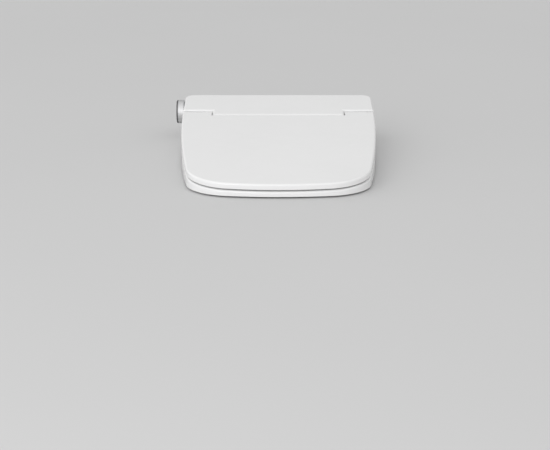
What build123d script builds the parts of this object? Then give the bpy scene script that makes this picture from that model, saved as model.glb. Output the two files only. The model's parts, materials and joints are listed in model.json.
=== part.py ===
from build123d import *
from math import acos, atan2, cos, pi, radians, sin, tan
import os

# Electric bidet seat, all sizes in mm.
# The origin is on the underside, midway between the two fixing holes.
# +X points to the right of someone facing the seat, -Y to the front and +Z up.

os.makedirs("parts", exist_ok=True)

# Outline in plan
half_width = 184.0
rear_y = 60.0
front_y = -447.0
side_r = 2350.0
side_y = -40.0
front_r = 570.0
corner_r = 86.0
rear_corner_r = 18.0
edge_r = 3.5

# Sloping deck and hinge line
deck_rear_z = 78.3
deck_slope = 6.0
hinge_y = -53.5
barrel_r = 13.5
hinge_gap = 0.6
block_half = 126.0
ear_gap = 2.0
ear_back = 13.0
nose_r = 5.0
lid_open = 100.0

# Lid
lid_t = 10.2
lid_skin = 4.0
lid_rim = 6.0
lid_cheek = 4.2
lid_shell_t = 2.7
lid_notch = 17.4
lid_under_r = 1.0
lid_rib_t = 2.0
lid_rib_x = 90.0
liner_t = 3.1
liner_up = 0.4
panel_gap = 0.3
lid_gap = 2.8
lid_pad_r = 8.0
lid_pad_rear_in = 52.5
lid_pad_rear_on = 65.0
lid_pad_front_in = 90.5
lid_pad_front_on = 45.0

# Seat
seat_low = 3.0
seat_wall = 3.5
seat_base_t = 2.5
seat_rear_gap = 3.0
rim_side = 74.5
rim_front = 58.0
rim_rear = 58.0
inner_edge_r = 9.0
arm_low = -9.0
arm_gap = 4.6
barrel_side_gap = 0.6
bridge_notch = 22.0
bridge_gap = 2.5
notch_deep = 25.0
film_t = 0.6
film_inset = 14.0
seat_pad_r = 9.0
seat_pad_round = 1.2
pad_stem_r = 3.0
seat_pad_rear_in = 36.5
seat_pad_rear_on = 35.0
seat_pad_front_in = 84.5
seat_pad_front_on = 43.0
seat_screw_out = 33.0
seat_screw_angles = (40.0, 0.0, -38.0, -72.0)
seat_boss_r = 4.5
seat_boss_deep = 18.0

# Hinge pins, dampers and running fits
pin_r = 4.5
pin_end = 1.5
pin_chamfer = 0.5
run_gap = 0.05
damper_r = 8.5
damper_len = 37.0
damper_floor = 5.0
damper_collar = 1.2
rib_t = 3.0

# Rear unit
wall = 3.0
base_z = 2.0
floor_t = 2.5
seam_z = 15.0
shelf_gap = 3.3
pocket_inset = 30.5
pocket_half = 20.0
pocket_deep = 16.0
pocket_room = 1.0
port_z = 24.0
port_r = 8.0
screw_r = 1.7
screw_free = 0.3
screw_head_r = 3.5
screw_head_t = 1.5
screw_bite = 17.0
cross_l = 2.2
cross_w = 0.5
cross_deep = 0.8
post_r = 4.0
post_up = 2.0
web_t = 3.0
front_post_in = 14.5
front_post_on = 10.0
rear_post_in = 11.0
rear_post_on = 5.0
unit_pad_r = 9.0
unit_pad_in = 37.5
unit_pad_front_on = 13.0
unit_pad_rear_on = 19.0

# Mounting plate under the unit
bolt_spacing = 155.0
bolt_hole_r = 4.25
plate_t = 3.0
plate_margin = 26.5
plate_front = -30.0
plate_rear = 18.0
plate_window = 45.0
window_rim = 13.0
window_r = 5.0
rail_in = 10.0
rail_t = 3.0
rail_top = 8.2
flange_w = 16.0
flange_t = 2.0
slide_gap = 0.8
recess_room = 4.0
recess_top = 12.0
slot_w = 16.0
slot_l = 36.0
washer_half = 15.0
washer_l = 40.0
washer_t = 3.0
key_l = 22.0

# Wash wand
wand_r = 7.0
wand_bore = 4.2
wand_len = 145.0
wand_tip_len = 14.0
wand_back = 19.5
tip_up = 11.5
wand_under = 10.75
wand_under_on = 17.0
water_way_r = 2.0
tip_round = 4.0
jet_r = 0.8
jet_step = 2.2
jet_back = 6.0
jet_row = 3.5
feed_r = 3.0
feed_wall = 1.0
feed_back = 12.0
seal_len = 6.0
hood_wall = 2.5
hood_half = 16.0
hood_front = 2.0
hood_room = 0.8
hood_round = 2.0
diverter_half = 14.0
diverter_len = 22.0
diverter_gap = 5.0
diverter_low = -9.0
diverter_top = 8.0
cheek_in = 9.5
cheek_t = 3.0
cheek_top = 3.0
cradle_rear = 16.0
collar_low = -13.0
collar_front = 12.0
collar_len = 8.0
collar_step = 23.0
rack_w = 4.0
rack_seat = 6.2
rack_root = 8.6
rack_room = 0.4
rack_fore = 7.0
rack_end = 2.0
gear_module = 0.7
gear_teeth = 18
pressure = radians(20.0)
backlash = 0.12
pinion_fore = 7.5
axle_r = 1.5
axle_hole_r = 2.2
motor_r = 9.0
motor_len = 18.0
motor_ear = 10.5
motor_ear_t = 1.2

# Water path inside the unit
hose_r = 4.0
hose_bore = 2.5
hose_bend = 8.0
flange_r = 14.0
flange_len = 2.5
thread_r = 10.48
thread_end = 1.0
spigot_len = 8.0
strainer_r = 7.0
strainer_len = 8.0
strainer_wall = 1.0
valve_half = 15.0
valve_len = 34.0
valve_up = 11.0
coil_r = 12.0
coil_len = 26.0
pump_out = 48.0
pump_len = 22.0
pump_r = 17.0
pump_back = 36.0
pump_foot = 3.0
pump_motor_len = 44.0
pump_motor_r = 14.0
heater_in = 42.0
heater_out = 64.5
heater_back = 18.0
heater_w = 66.0
heater_foot = 3.0
heater_round = 4.0
heater_ribs = 7
heater_rib_t = 3.0
under_board = 8.0
cold_port = 24.0
warm_port = 12.0
terminal_r = 5.0
terminal_step = 33.0

# Electrics inside the unit
board_room = 9.8
board_in = 30.0
board_out = 28.5
board_front_on = 37.0
board_back = 15.0
board_t = 1.6
board_post_r = 3.0
board_post_in = 4.0
supply_gap = 13.0
supply_out = 8.5
supply_front_on = 39.0
supply_back = 10.0
gland_r = 3.5
gland_nut_r = 11.0
gland_nut_len = 6.0
gland_cap_r = 7.5
gland_cap_len = 7.0

# Knob on the left side
knob_inset = 28.0
knob_drop = 25.7
knob_r = 22.75
knob_len = 14.5
knob_travel = 1.8
press_gap = 0.6
knob_skirt = 2.4
knob_round = 3.0
knob_cap_rim = 4.5
knob_cap_t = 1.5
knob_groove = 0.8
bezel_t = 4.0
bush_r = 8.0
shaft_r = 3.0
shaft_flange_r = 6.0
encoder_len = 10.5
encoder_plate_t = 1.6
encoder_w = 19.0
encoder_low = 9.5
encoder_h = 19.5

# Derived values
slope = radians(deck_slope)
hinge_z = deck_rear_z + (hinge_y - rear_y) * tan(slope) - barrel_r / cos(slope)
far = 2 * half_width


def deck_height(y, n):
    """Z of the plane that lies n above the hinge axis, parallel to the deck."""
    return hinge_z + n / cos(slope) + (y - hinge_y) * tan(slope)


def mirrored(*spots):
    """Each spot in plan and its mirror image."""
    return [(side * x, y) for x, y in spots for side in (-1, 1)]


block_front = hinge_y - barrel_r
lid_low = barrel_r - lid_t
seat_top_n = lid_low - lid_gap
ear_in = block_half + ear_gap
cheek_x = (ear_in + lid_cheek, half_width - lid_cheek)
shell_r = barrel_r - lid_shell_t
seat_barrel_r = shell_r - hinge_gap
seat_rear = block_front - seat_rear_gap
hole_half_x = half_width - rim_side
hole_front = front_y + rim_front
hole_rear = seat_rear - rim_rear
hole_half_y = (hole_rear - hole_front) / 2
hole_mid_y = (hole_rear + hole_front) / 2
damper_in = block_half - wall - damper_len
pin_in = damper_in + damper_floor
pin_out = half_width - pin_end

floor_top = base_z + floor_t
high_floor = recess_top + floor_t
shelf_z = hinge_z - barrel_r - shelf_gap
pocket_x = half_width - pocket_inset
pocket_top = port_z + flange_r + pocket_room
inlet_y = rear_y - pocket_deep
pocket_face = inlet_y - wall
post_top = port_z + post_up
front_posts = mirrored((half_width - front_post_in, block_front + front_post_on))
rear_posts = mirrored((half_width - rear_post_in, pocket_face - rear_post_on))
unit_pads = mirrored(
    (half_width - unit_pad_in, block_front + unit_pad_front_on),
    (half_width - unit_pad_in, pocket_face - unit_pad_rear_on),
)

plate_slot_x = bolt_spacing / 2
plate_half = plate_slot_x + plate_margin
rail_x = plate_half - rail_in
recess_half = rail_x + flange_w + recess_room
recess_front = plate_front - recess_room

wand_rear_y = rear_y - wand_under_on
tip_y = block_front + wand_back - wand_len / 2
tip_z = floor_top + tip_up
wand_rise = deck_height(wand_rear_y, barrel_r - wall) - wand_under - tip_z
wand_a = atan2(wand_rise, wand_rear_y - tip_y)
wand_c = cos(wand_a)
wand_s = sin(wand_a)
pinion_v = wand_len / 2 - pinion_fore
rack_v = (pinion_v - rack_fore, wand_len - rack_end)
diverter_v = (wand_len + diverter_gap, wand_len + diverter_gap + diverter_len)
gear_pitch_r = gear_module * gear_teeth / 2
pitch_n = -(rack_root + 1.25 * gear_module)
pinion_n = pitch_n - gear_pitch_r
hood_top = wand_r + hood_room + hood_wall
hood_drop = -3 * hood_half
mouth = hood_half - hood_wall
cheek_out = cheek_in + cheek_t

pump_x = pocket_x - pump_out
pump_y = rear_y - pump_back
pump_z = high_floor + pump_foot + pump_r
pump_port_x = -pump_x + pump_len / 2
pump_port_z = pump_z + pump_r / 3
board_x = (board_in, half_width - board_out)
board_y = (block_front + board_front_on, rear_y - board_back)
board_z = deck_height(board_y[0], barrel_r - wall) - board_room
heater_x = (heater_in, half_width - heater_out)
heater_y = (rear_y - heater_back - heater_w, rear_y - heater_back)
heater_top = board_z - under_board
cold_y = heater_y[0] + cold_port
warm_y = heater_y[1] - warm_port
warm_z = heater_top - warm_port + hose_r

knob_y = rear_y - knob_inset
knob_z = deck_height(knob_y, barrel_r) - knob_drop
knob_in = half_width + knob_travel + press_gap
knob_out = knob_in + knob_len
cup_floor = half_width + bezel_t + knob_travel + 2 * press_gap
cap_r = knob_r - knob_cap_rim
encoder_x = (-half_width + wall, -half_width + wall + encoder_len)

lid_pads = mirrored(
    (half_width - lid_pad_rear_in, seat_rear - lid_pad_rear_on),
    (half_width - lid_pad_front_in, front_y + lid_pad_front_on),
)
seat_pads = mirrored(
    (half_width - seat_pad_rear_in, seat_rear - seat_pad_rear_on),
    (half_width - seat_pad_front_in, front_y + seat_pad_front_on),
)
screw_ring = (hole_half_x + seat_screw_out, hole_half_y + seat_screw_out)
seat_turns = [radians(a) for a in seat_screw_angles]
seat_ring = [(screw_ring[0] * cos(a), hole_mid_y + screw_ring[1] * sin(a)) for a in seat_turns]
seat_screw_spots = mirrored(*seat_ring)

deck = Plane(origin=(0, hinge_y, hinge_z), x_dir=(1, 0, 0), z_dir=(0, -sin(slope), cos(slope)))
deck_side = Plane(origin=deck.origin, x_dir=(0, cos(slope), sin(slope)), z_dir=(1, 0, 0))
wand_end = Plane(origin=(0, tip_y, tip_z), x_dir=(-1, 0, 0), z_dir=(0, wand_c, wand_s))
wand_side = Plane(origin=(0, tip_y, tip_z), x_dir=(0, wand_c, wand_s), z_dir=(1, 0, 0))
wand_top = Plane(origin=(0, tip_y, tip_z), x_dir=(0, wand_c, wand_s), z_dir=(0, -wand_s, wand_c))


def wand_point(v, n):
    """Y and Z of a point v behind the wand's tip and n above its axis."""
    return (tip_y + v * wand_c - n * wand_s, tip_z + v * wand_s + n * wand_c)


def block(x, y, z):
    """Box between two values on each axis."""
    with BuildPart(mode=Mode.PRIVATE) as piece:
        with Locations(((x[0] + x[1]) / 2, (y[0] + y[1]) / 2, (z[0] + z[1]) / 2)):
            Box(x[1] - x[0], y[1] - y[0], z[1] - z[0])
    return piece.part


def rod_x(x, y, z, r):
    """Round bar along X."""
    with BuildPart(mode=Mode.PRIVATE) as piece:
        with BuildSketch(Plane.YZ.offset(x[0])):
            with Locations((y, z)):
                Circle(r)
        extrude(amount=x[1] - x[0])
    return piece.part


def rod_y(x, y, z, r):
    """Round bar along Y."""
    with BuildPart(mode=Mode.PRIVATE) as piece:
        with BuildSketch(Plane(origin=(x, y[0], z), x_dir=(1, 0, 0), z_dir=(0, 1, 0))):
            Circle(r)
        extrude(amount=y[1] - y[0])
    return piece.part


def rod_z(x, y, z, r):
    """Round bar along Z."""
    with BuildPart(mode=Mode.PRIVATE) as piece:
        with BuildSketch(Plane.XY.offset(z[0])):
            with Locations((x, y)):
                Circle(r)
        extrude(amount=z[1] - z[0])
    return piece.part


def deck_block(x, v, n):
    """Box in the deck's own frame: v to the rear along the slope, n above the hinge axis."""
    with BuildPart(mode=Mode.PRIVATE) as piece:
        with BuildSketch(deck.offset(n[0])):
            with Locations(((x[0] + x[1]) / 2, (v[0] + v[1]) / 2)):
                Rectangle(x[1] - x[0], v[1] - v[0])
        extrude(amount=n[1] - n[0])
    return piece.part


def slab(low, high):
    """Everything between two planes parallel to the deck."""
    return deck_block((-far, far), (2 * front_y, -front_y), (low, high))


def wand_block(x, v, n):
    """Box in the wand's frame: v behind the tip, n above the axis."""
    with BuildPart(mode=Mode.PRIVATE) as piece:
        with BuildSketch(wand_side.offset(x[0])):
            with Locations(((v[0] + v[1]) / 2, (n[0] + n[1]) / 2)):
                Rectangle(v[1] - v[0], n[1] - n[0])
        extrude(amount=x[1] - x[0])
    return piece.part


def wand_rod(v, r):
    """Round bar on the wand's axis."""
    with BuildPart(mode=Mode.PRIVATE) as piece:
        with BuildSketch(wand_end.offset(v[0])):
            Circle(r)
        extrude(amount=v[1] - v[0])
    return piece.part


def plan_outline(inset, y_end):
    """Plan of lid and seat up to y_end, drawn parallel to the outside edge."""
    with BuildSketch(mode=Mode.PRIVATE) as outline:
        with Locations((half_width - side_r, side_y)):
            Circle(side_r - inset)
        with Locations((side_r - half_width, side_y)):
            Circle(side_r - inset, mode=Mode.INTERSECT)
        with Locations((0, front_y + front_r)):
            Circle(front_r - inset, mode=Mode.INTERSECT)
        with Locations((0, y_end + front_y)):
            Rectangle(2 * far, -2 * front_y, mode=Mode.INTERSECT)
        fillet(outline.vertices().sort_by(Axis.Y)[:2], corner_r - inset)
    return outline.sketch


def seat_hole(grow):
    """Oval opening of the seat, drawn parallel to its edge."""
    with BuildSketch(mode=Mode.PRIVATE) as oval:
        with Locations((0, hole_mid_y)):
            Ellipse(hole_half_x + grow, hole_half_y + grow)
    return oval.sketch


def column(sketch, z):
    """Plan sketch raised between two heights."""
    with BuildPart(mode=Mode.PRIVATE) as piece:
        with BuildSketch(Plane.XY.offset(z[0])):
            add(sketch)
        extrude(amount=z[1] - z[0])
    return piece.part


def shaft(sketch):
    """Plan sketch raised through the whole height of the seat."""
    return column(sketch, (-deck_rear_z, 2 * deck_rear_z))


def pocket(side, grow):
    """Connection pocket in the rear face, open behind and below."""
    x = side * pocket_x
    reach = pocket_half + grow
    return block((x - reach, x + reach), (inlet_y - grow, 2 * rear_y), (-base_z, pocket_top + grow))


def unit_plan(inset):
    """Plan of the rear unit."""
    with BuildSketch(mode=Mode.PRIVATE) as plan:
        with Locations((0, (block_front + rear_y) / 2)):
            Rectangle(2 * (half_width - inset), rear_y - block_front - 2 * inset)
        fillet(plan.vertices().group_by(Axis.Y)[-1], rear_corner_r - inset)
    return plan.sketch


def housing(inset, z_low):
    """Rear body with every outside face moved in by inset."""
    reach = deck_rear_z
    tilt = radians(90 + deck_slope - lid_open)
    deep = barrel_r + hinge_gap + inset
    back = (deep * cos(tilt), deep * sin(tilt))
    rise = (-reach * sin(tilt), reach * cos(tilt))
    swing = ((0, 0), back, (back[0] + rise[0], back[1] + rise[1]), rise)
    low = shelf_z - inset - hinge_z
    wall_v = ear_back + inset
    step = ((-reach, low), (0, low), (wall_v, 0), (wall_v, reach), (-reach, reach))
    with BuildPart(mode=Mode.PRIVATE) as body:
        with BuildSketch(Plane.XY.offset(z_low)):
            add(unit_plan(inset))
        extrude(amount=2 * deck_rear_z)
        add(slab(barrel_r - inset, 4 * deck_rear_z), mode=Mode.SUBTRACT)
        nose = body.edges().filter_by(Axis.X).group_by(Axis.Y)[0].sort_by(Axis.Z)[-1]
        fillet(nose, nose_r - inset)
        for side in (-1, 1):
            with BuildSketch(Plane.YZ.offset(side * (block_half - inset))):
                with Locations((hinge_y, hinge_z)):
                    Circle(deep)
                    Polygon(*step, align=None)
                    Polygon(*swing, align=None)
            extrude(amount=side * half_width, mode=Mode.SUBTRACT)
            add(pocket(side, inset), mode=Mode.SUBTRACT)
    return body.part


def ear_barrel(span):
    """Round end of the lid on the hinge line, with its outer rim rounded."""
    with BuildPart(mode=Mode.PRIVATE) as barrel:
        add(rod_x(span, hinge_y, hinge_z, barrel_r))
        rims = barrel.edges().filter_by(GeomType.CIRCLE).sort_by(lambda e: abs(e.center().X))
        fillet(rims[-1], edge_r)
    return barrel.part


def lid_ear(side):
    """Hinge barrel of the lid: two cheeks and the shell over the seat's barrel."""
    rear_low = -shell_r * sin(radians(lid_open - 90))
    span = sorted((side * ear_in, side * half_width))
    reach = 3 * barrel_r
    under = (
        (-lid_notch, -reach),
        (reach, -reach),
        (reach, rear_low),
        (0, rear_low),
        (0, lid_low),
        (-lid_notch, lid_low),
    )
    with BuildPart(mode=Mode.PRIVATE) as ear:
        add(deck_block(span, (-lid_notch, 0), (lid_low, barrel_r)))
        outer = ear.edges().group_by(lambda e: round(abs(e.center().X), 1))[-1]
        along = outer.filter_by(lambda e: abs((e % 0).Y) > 0.9)
        fillet(along.sort_by(Axis.Z)[-1], edge_r)
        add(ear_barrel(span))
        with BuildSketch(deck_side.offset(side * cheek_x[0])):
            Circle(shell_r)
            Polygon(*under, align=None)
        extrude(amount=side * (cheek_x[1] - cheek_x[0]), mode=Mode.SUBTRACT)
    return ear.part


def hose(points, bend):
    """Water hose along a bent line."""
    with BuildPart(mode=Mode.PRIVATE) as piece:
        with BuildLine() as path:
            FilletPolyline(*points, radius=bend)
        with BuildSketch(Plane(origin=path.line @ 0, z_dir=path.line % 0)):
            Circle(hose_r)
            Circle(hose_bore, mode=Mode.SUBTRACT)
        sweep()
    return piece.part


def cross_screw(x, y, low, high):
    """Screw with a flat head and a cross recess, driven upwards."""
    slot = (low - cross_deep, low + cross_deep)
    with BuildPart(mode=Mode.PRIVATE) as screw:
        add(rod_z(x, y, (low, low + screw_head_t), screw_head_r))
        add(rod_z(x, y, (low + screw_head_t, high), screw_r))
        add(block((x - cross_w, x + cross_w), (y - cross_l, y + cross_l), slot), mode=Mode.SUBTRACT)
        add(block((x - cross_l, x + cross_l), (y - cross_w, y + cross_w), slot), mode=Mode.SUBTRACT)
    return screw.part


def flat_face(piece, up):
    """Largest face that is parallel to the deck and looks up (1) or down (-1)."""
    level = piece.faces().filter_by(lambda f: up * f.normal_at().dot(deck.z_dir) > 0.999)
    return level.sort_by(SortBy.AREA)[-1]


def finish(piece, label):
    """Name the piece and write its STEP file."""
    piece.part.label = label
    export_step(piece.part, "parts/" + label + ".step")


# Mounting plate with hooked rails and two adjusting slots
plate_y = (plate_front, plate_rear)
with BuildPart() as mounting_plate:
    add(block((-plate_half, plate_half), plate_y, (0, plate_t)))
    add(
        block(
            (-plate_window, plate_window),
            (plate_front + window_rim, plate_rear - window_rim),
            (-plate_t, 2 * plate_t),
        ),
        mode=Mode.SUBTRACT,
    )
    uprights = mounting_plate.edges().filter_by(Axis.Z)
    fillet(uprights.filter_by(lambda e: abs(e.center().X) < rail_x), window_r)
    for side in (-1, 1):
        upright = sorted((side * rail_x, side * (rail_x + rail_t)))
        add(block(upright, plate_y, (0, rail_top)))
        reach = sorted((side * rail_x, side * (rail_x + flange_w)))
        add(block(reach, plate_y, (rail_top - flange_t, rail_top)))
        with BuildSketch():
            with Locations((side * plate_slot_x, 0)):
                Rectangle(slot_w, slot_l)
        extrude(amount=plate_t, mode=Mode.SUBTRACT)
finish(mounting_plate, "mounting_plate")

# Clamp washers that carry the fixing holes
key_half = slot_w / 2 - panel_gap
with BuildPart() as fixing_adjusters:
    for x, y in mirrored((plate_slot_x, 0)):
        washer_z = (plate_t, plate_t + washer_t)
        add(block((x - washer_half, x + washer_half), (y - washer_l / 2, y + washer_l / 2), washer_z))
        add(block((x - key_half, x + key_half), (y - key_l / 2, y + key_l / 2), (0, plate_t)))
        add(rod_z(x, y, (-plate_t, 3 * plate_t), bolt_hole_r), mode=Mode.SUBTRACT)
finish(fixing_adjusters, "fixing_adjusters")

# Base tray
hood_face_n = (floor_top - tip_z + hood_front * wand_s) / wand_c
hood_foot = wand_point(-hood_front, hood_face_n)[0]
lip_x = (plate_half + slide_gap, recess_half + floor_t / 2)
lip_z = (plate_t + slide_gap / 2, rail_top - flange_t - slide_gap)
mouth_y = (block_front - wall, block_front + 2 * wall)
board_spots = [
    (x, y)
    for x in (board_x[0] + board_post_in, heater_x[1] + 2 * board_post_r)
    for y in (board_y[0] + board_post_in, board_y[1] - board_post_in)
]
with BuildPart() as base_tray:
    add(column(unit_plan(0), (base_z, seam_z)))
    add(column(unit_plan(wall), (floor_top, seam_z + wall)), mode=Mode.SUBTRACT)
    for side in (-1, 1):
        add(pocket(side, wall) & column(unit_plan(0), (base_z, seam_z)))
        add(pocket(side, 0), mode=Mode.SUBTRACT)
    high = (recess_half + floor_t, recess_front - floor_t)
    add(block((-high[0], high[0]), (high[1], rear_y - wall), (base_z, high_floor)))
    recess = block((-recess_half, recess_half), (recess_front, 2 * rear_y), (0, recess_top))
    add(recess, mode=Mode.SUBTRACT)
    for side in (-1, 1):
        add(block(sorted((side * lip_x[0], side * lip_x[1])), (recess_front, plate_rear), lip_z))
    add(block((-hood_half, hood_half), (hood_foot, block_front + wall), (base_z, floor_top)))
    add(block((-mouth, mouth), mouth_y, (floor_top, seam_z + wall)), mode=Mode.SUBTRACT)
    for x, y in board_spots:
        foot = high_floor if x < recess_half else floor_top
        add(rod_z(x, y, (foot - floor_t / 2, board_z), board_post_r))
    for x, y in front_posts + rear_posts:
        add(rod_z(x, y, (0, 2 * floor_top), screw_r + screw_free), mode=Mode.SUBTRACT)
        add(rod_z(x, y, (0, base_z + screw_head_t), screw_head_r + screw_free), mode=Mode.SUBTRACT)
finish(base_tray, "base_tray")

# Rear cover with centre block, hinge recesses and screw posts
cover_body = housing(0, seam_z)
rib_y = (block_front, hinge_y + barrel_r)
rib_z = (hinge_z - barrel_r, hinge_z + 2 * barrel_r)
rib_spans = [sorted((side * (damper_in - rib_t), side * damper_in)) for side in (-1, 1)]
cover_ribs = [block(span, rib_y, rib_z) & cover_body for span in rib_spans]
with BuildPart() as rear_cover:
    add(cover_body)
    rim = flat_face(rear_cover, 1).edges()
    ends = rim.filter_by(lambda e: abs(e.center().X) > block_half or e.center().Y > 0)
    fillet(ends, edge_r)
    add(housing(wall, seam_z - wall), mode=Mode.SUBTRACT)
    add(cover_ribs)
    for x, y in front_posts:
        add(rod_z(x, y, (floor_top, shelf_z - wall / 2), post_r))
    for x, y in rear_posts:
        add(rod_z(x, y, (floor_top, post_top), post_r))
        web = (x - web_t / 2, x + web_t / 2)
        add(block(web, (y, pocket_face + wall / 2), (seam_z + panel_gap, post_top)))
    for x, y in front_posts + rear_posts:
        add(rod_z(x, y, (0, floor_top + screw_bite), screw_r), mode=Mode.SUBTRACT)
    for side in (-1, 1):
        bore = sorted((side * (block_half - 2 * wall), side * ear_in))
        add(rod_x(bore, hinge_y, hinge_z, pin_r + run_gap), mode=Mode.SUBTRACT)
        add(rod_y(side * pocket_x, (pocket_face - wall, rear_y), port_z, port_r), mode=Mode.SUBTRACT)
    gate = wand_block((-mouth, mouth), (0, wand_len), (hood_drop, wand_r + hood_room))
    add(gate & block((-mouth, mouth), mouth_y, (0, deck_rear_z)), mode=Mode.SUBTRACT)
    side_hole = (-half_width - wall, -half_width + 2 * wall)
    add(rod_x(side_hole, knob_y, knob_z, bush_r), mode=Mode.SUBTRACT)
finish(rear_cover, "rear_cover")

# Hood over the wand
front_wall = (-2 * hood_wall, 2 * hood_wall)
with BuildPart() as wand_hood:
    add(wand_block((-hood_half, hood_half), (-hood_front, wand_len), (hood_drop, hood_top)))
    sides = wand_hood.edges().filter_by(lambda e: abs(e.center().X) > hood_half - 1)
    fillet(sides.sort_by(Axis.Z)[-2:], hood_round)
    ahead = block((-hood_half, hood_half), (front_y, block_front), (floor_top, deck_rear_z))
    add(ahead, mode=Mode.INTERSECT)
    inside = (hood_wall - hood_front, wand_len)
    add(wand_block((-mouth, mouth), inside, (hood_drop, wand_r + hood_room)), mode=Mode.SUBTRACT)
    add(wand_rod(front_wall, wand_r + hood_room), mode=Mode.SUBTRACT)
    rack_slot = rack_w / 2 + hood_room
    rack_deep = pitch_n - gear_module - hood_room
    add(wand_block((-rack_slot, rack_slot), front_wall, (rack_deep, 0)), mode=Mode.SUBTRACT)
finish(wand_hood, "wand_hood")

# Screws that hold the cover on the tray
with BuildPart() as cover_screws:
    for x, y in front_posts + rear_posts:
        add(cross_screw(x, y, base_z, floor_top + screw_bite - screw_head_t))
finish(cover_screws, "cover_screws")

# Rubber pads under the tray
with BuildPart() as base_pads:
    for x, y in unit_pads:
        add(rod_z(x, y, (0, base_z), unit_pad_r))
finish(base_pads, "base_pads")

# Rotary soft-close dampers in the centre block
with BuildPart() as soft_close_dampers:
    for side in (-1, 1):
        add(rod_x(sorted((side * damper_in, side * (block_half - wall))), hinge_y, hinge_z, damper_r))
        collar = sorted((side * pin_in, side * (pin_in + damper_floor)))
        add(rod_x(collar, hinge_y, hinge_z, damper_r + damper_collar))
        bore = sorted((side * pin_in, side * block_half))
        add(rod_x(bore, hinge_y, hinge_z, pin_r + run_gap), mode=Mode.SUBTRACT)
finish(soft_close_dampers, "soft_close_dampers")

# Water inlet with its strainer
strainer_y = (inlet_y - wall, inlet_y - wall + strainer_len)
with BuildPart() as inlet_fitting:
    add(rod_y(-pocket_x, (inlet_y, inlet_y + flange_len), port_z, flange_r))
    add(rod_y(-pocket_x, (inlet_y + flange_len, rear_y - thread_end), port_z, thread_r))
    add(rod_y(-pocket_x, (pocket_face - spigot_len, inlet_y), port_z, port_r))
    add(rod_y(-pocket_x, (strainer_y[0], rear_y), port_z, strainer_r), mode=Mode.SUBTRACT)
    add(rod_y(-pocket_x, (pocket_face - 2 * spigot_len, rear_y), port_z, hose_r), mode=Mode.SUBTRACT)
    chamfer(inlet_fitting.faces().sort_by(Axis.Y)[-1].edges().sort_by(SortBy.RADIUS)[-1:], strainer_wall)
finish(inlet_fitting, "inlet_fitting")

strainer_plane = Plane(origin=(-pocket_x, strainer_y[0], port_z), x_dir=(1, 0, 0), z_dir=(0, 1, 0))
with BuildPart() as inlet_screen:
    add(rod_y(-pocket_x, strainer_y, port_z, strainer_r))
    bowl = (strainer_y[0] + strainer_wall, rear_y)
    add(rod_y(-pocket_x, bowl, port_z, strainer_r - strainer_wall), mode=Mode.SUBTRACT)
    with BuildSketch(strainer_plane):
        with PolarLocations(strainer_r / 3, 6):
            Circle(jet_r)
    extrude(amount=strainer_len, mode=Mode.SUBTRACT)
finish(inlet_screen, "inlet_screen")

# Inlet valve and its coil
valve_y = (pocket_face - valve_len, pocket_face)
valve_low = port_z - valve_half
outlet_x = (-pocket_x, -pocket_x + valve_half + spigot_len)
outlet_y = valve_y[0] + valve_half
with BuildPart() as inlet_valve:
    add(block((-pocket_x - valve_half, -pocket_x + valve_half), valve_y, (valve_low, port_z + valve_up)))
    fillet(inlet_valve.edges().filter_by(Axis.Y), hose_r)
    add(rod_y(-pocket_x, (pocket_face - spigot_len, rear_y), port_z, port_r), mode=Mode.SUBTRACT)
    add(rod_x(outlet_x, outlet_y, port_z, hose_r))
    add(rod_y(-pocket_x, (outlet_y, rear_y), port_z, hose_r), mode=Mode.SUBTRACT)
    add(rod_x((-pocket_x, pocket_x), outlet_y, port_z, hose_bore), mode=Mode.SUBTRACT)
    add(block((-pocket_x - port_r, -pocket_x + port_r), valve_y, (floor_top, valve_low)))
finish(inlet_valve, "inlet_valve")

coil_y = (valve_y[0] - coil_len, valve_y[0])
with BuildPart() as valve_coil:
    add(rod_y(-pocket_x, coil_y, port_z, coil_r))
    fillet(valve_coil.edges().filter_by(GeomType.CIRCLE).sort_by(Axis.Y)[0], hose_r / 2)
    tab_y = (coil_y[0] + hose_r, coil_y[0] + coil_r)
    add(block((-pocket_x - hose_r, -pocket_x + hose_r), tab_y, (port_z, port_z + coil_r + hose_r)))
finish(valve_coil, "valve_coil")

# Instant water heater
heater_low = high_floor + heater_foot
foot_in = heater_round + terminal_r
with BuildPart() as water_heater:
    add(block(heater_x, heater_y, (heater_low, heater_top)))
    fillet(water_heater.edges(), heater_round)
    for x in (heater_x[0] + foot_in, heater_x[1] - foot_in):
        for y in (heater_y[0] + foot_in, heater_y[1] - foot_in):
            add(rod_z(x, y, (high_floor, heater_low + heater_foot), terminal_r))
    for y, z in ((cold_y, port_z), (warm_y, warm_z)):
        spigot = (heater_x[0] - spigot_len, heater_x[0] + hose_r)
        add(rod_x(spigot, y, z, hose_r))
        add(rod_x(spigot, y, z, hose_bore), mode=Mode.SUBTRACT)
    rib_span = heater_x[1] - heater_x[0] - 4 * heater_round
    for i in range(heater_ribs):
        x = heater_x[0] + 2 * heater_round + rib_span * i / (heater_ribs - 1)
        rib = (x - heater_rib_t / 2, x + heater_rib_t / 2)
        rib_deep = (heater_y[0] + heater_round, heater_y[1] - heater_round)
        add(block(rib, rib_deep, (heater_top - heater_rib_t / 2, heater_top + heater_rib_t / 2)))
finish(water_heater, "water_heater")

terminal_z = (heater_low + heater_top) / 2
with BuildPart() as heater_terminals:
    for y in (heater_y[1] - 2 * foot_in - terminal_step, heater_y[1] - 2 * foot_in):
        add(rod_x((heater_x[1], heater_x[1] + terminal_r / 2), y, terminal_z, terminal_r))
        tab = (terminal_z - board_t / 2, terminal_z + board_t / 2)
        tab_x = (heater_x[1] + terminal_r / 2, heater_x[1] + 3 * terminal_r / 2)
        add(block(tab_x, (y - terminal_r / 2, y + terminal_r / 2), tab))
finish(heater_terminals, "heater_terminals")

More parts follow.
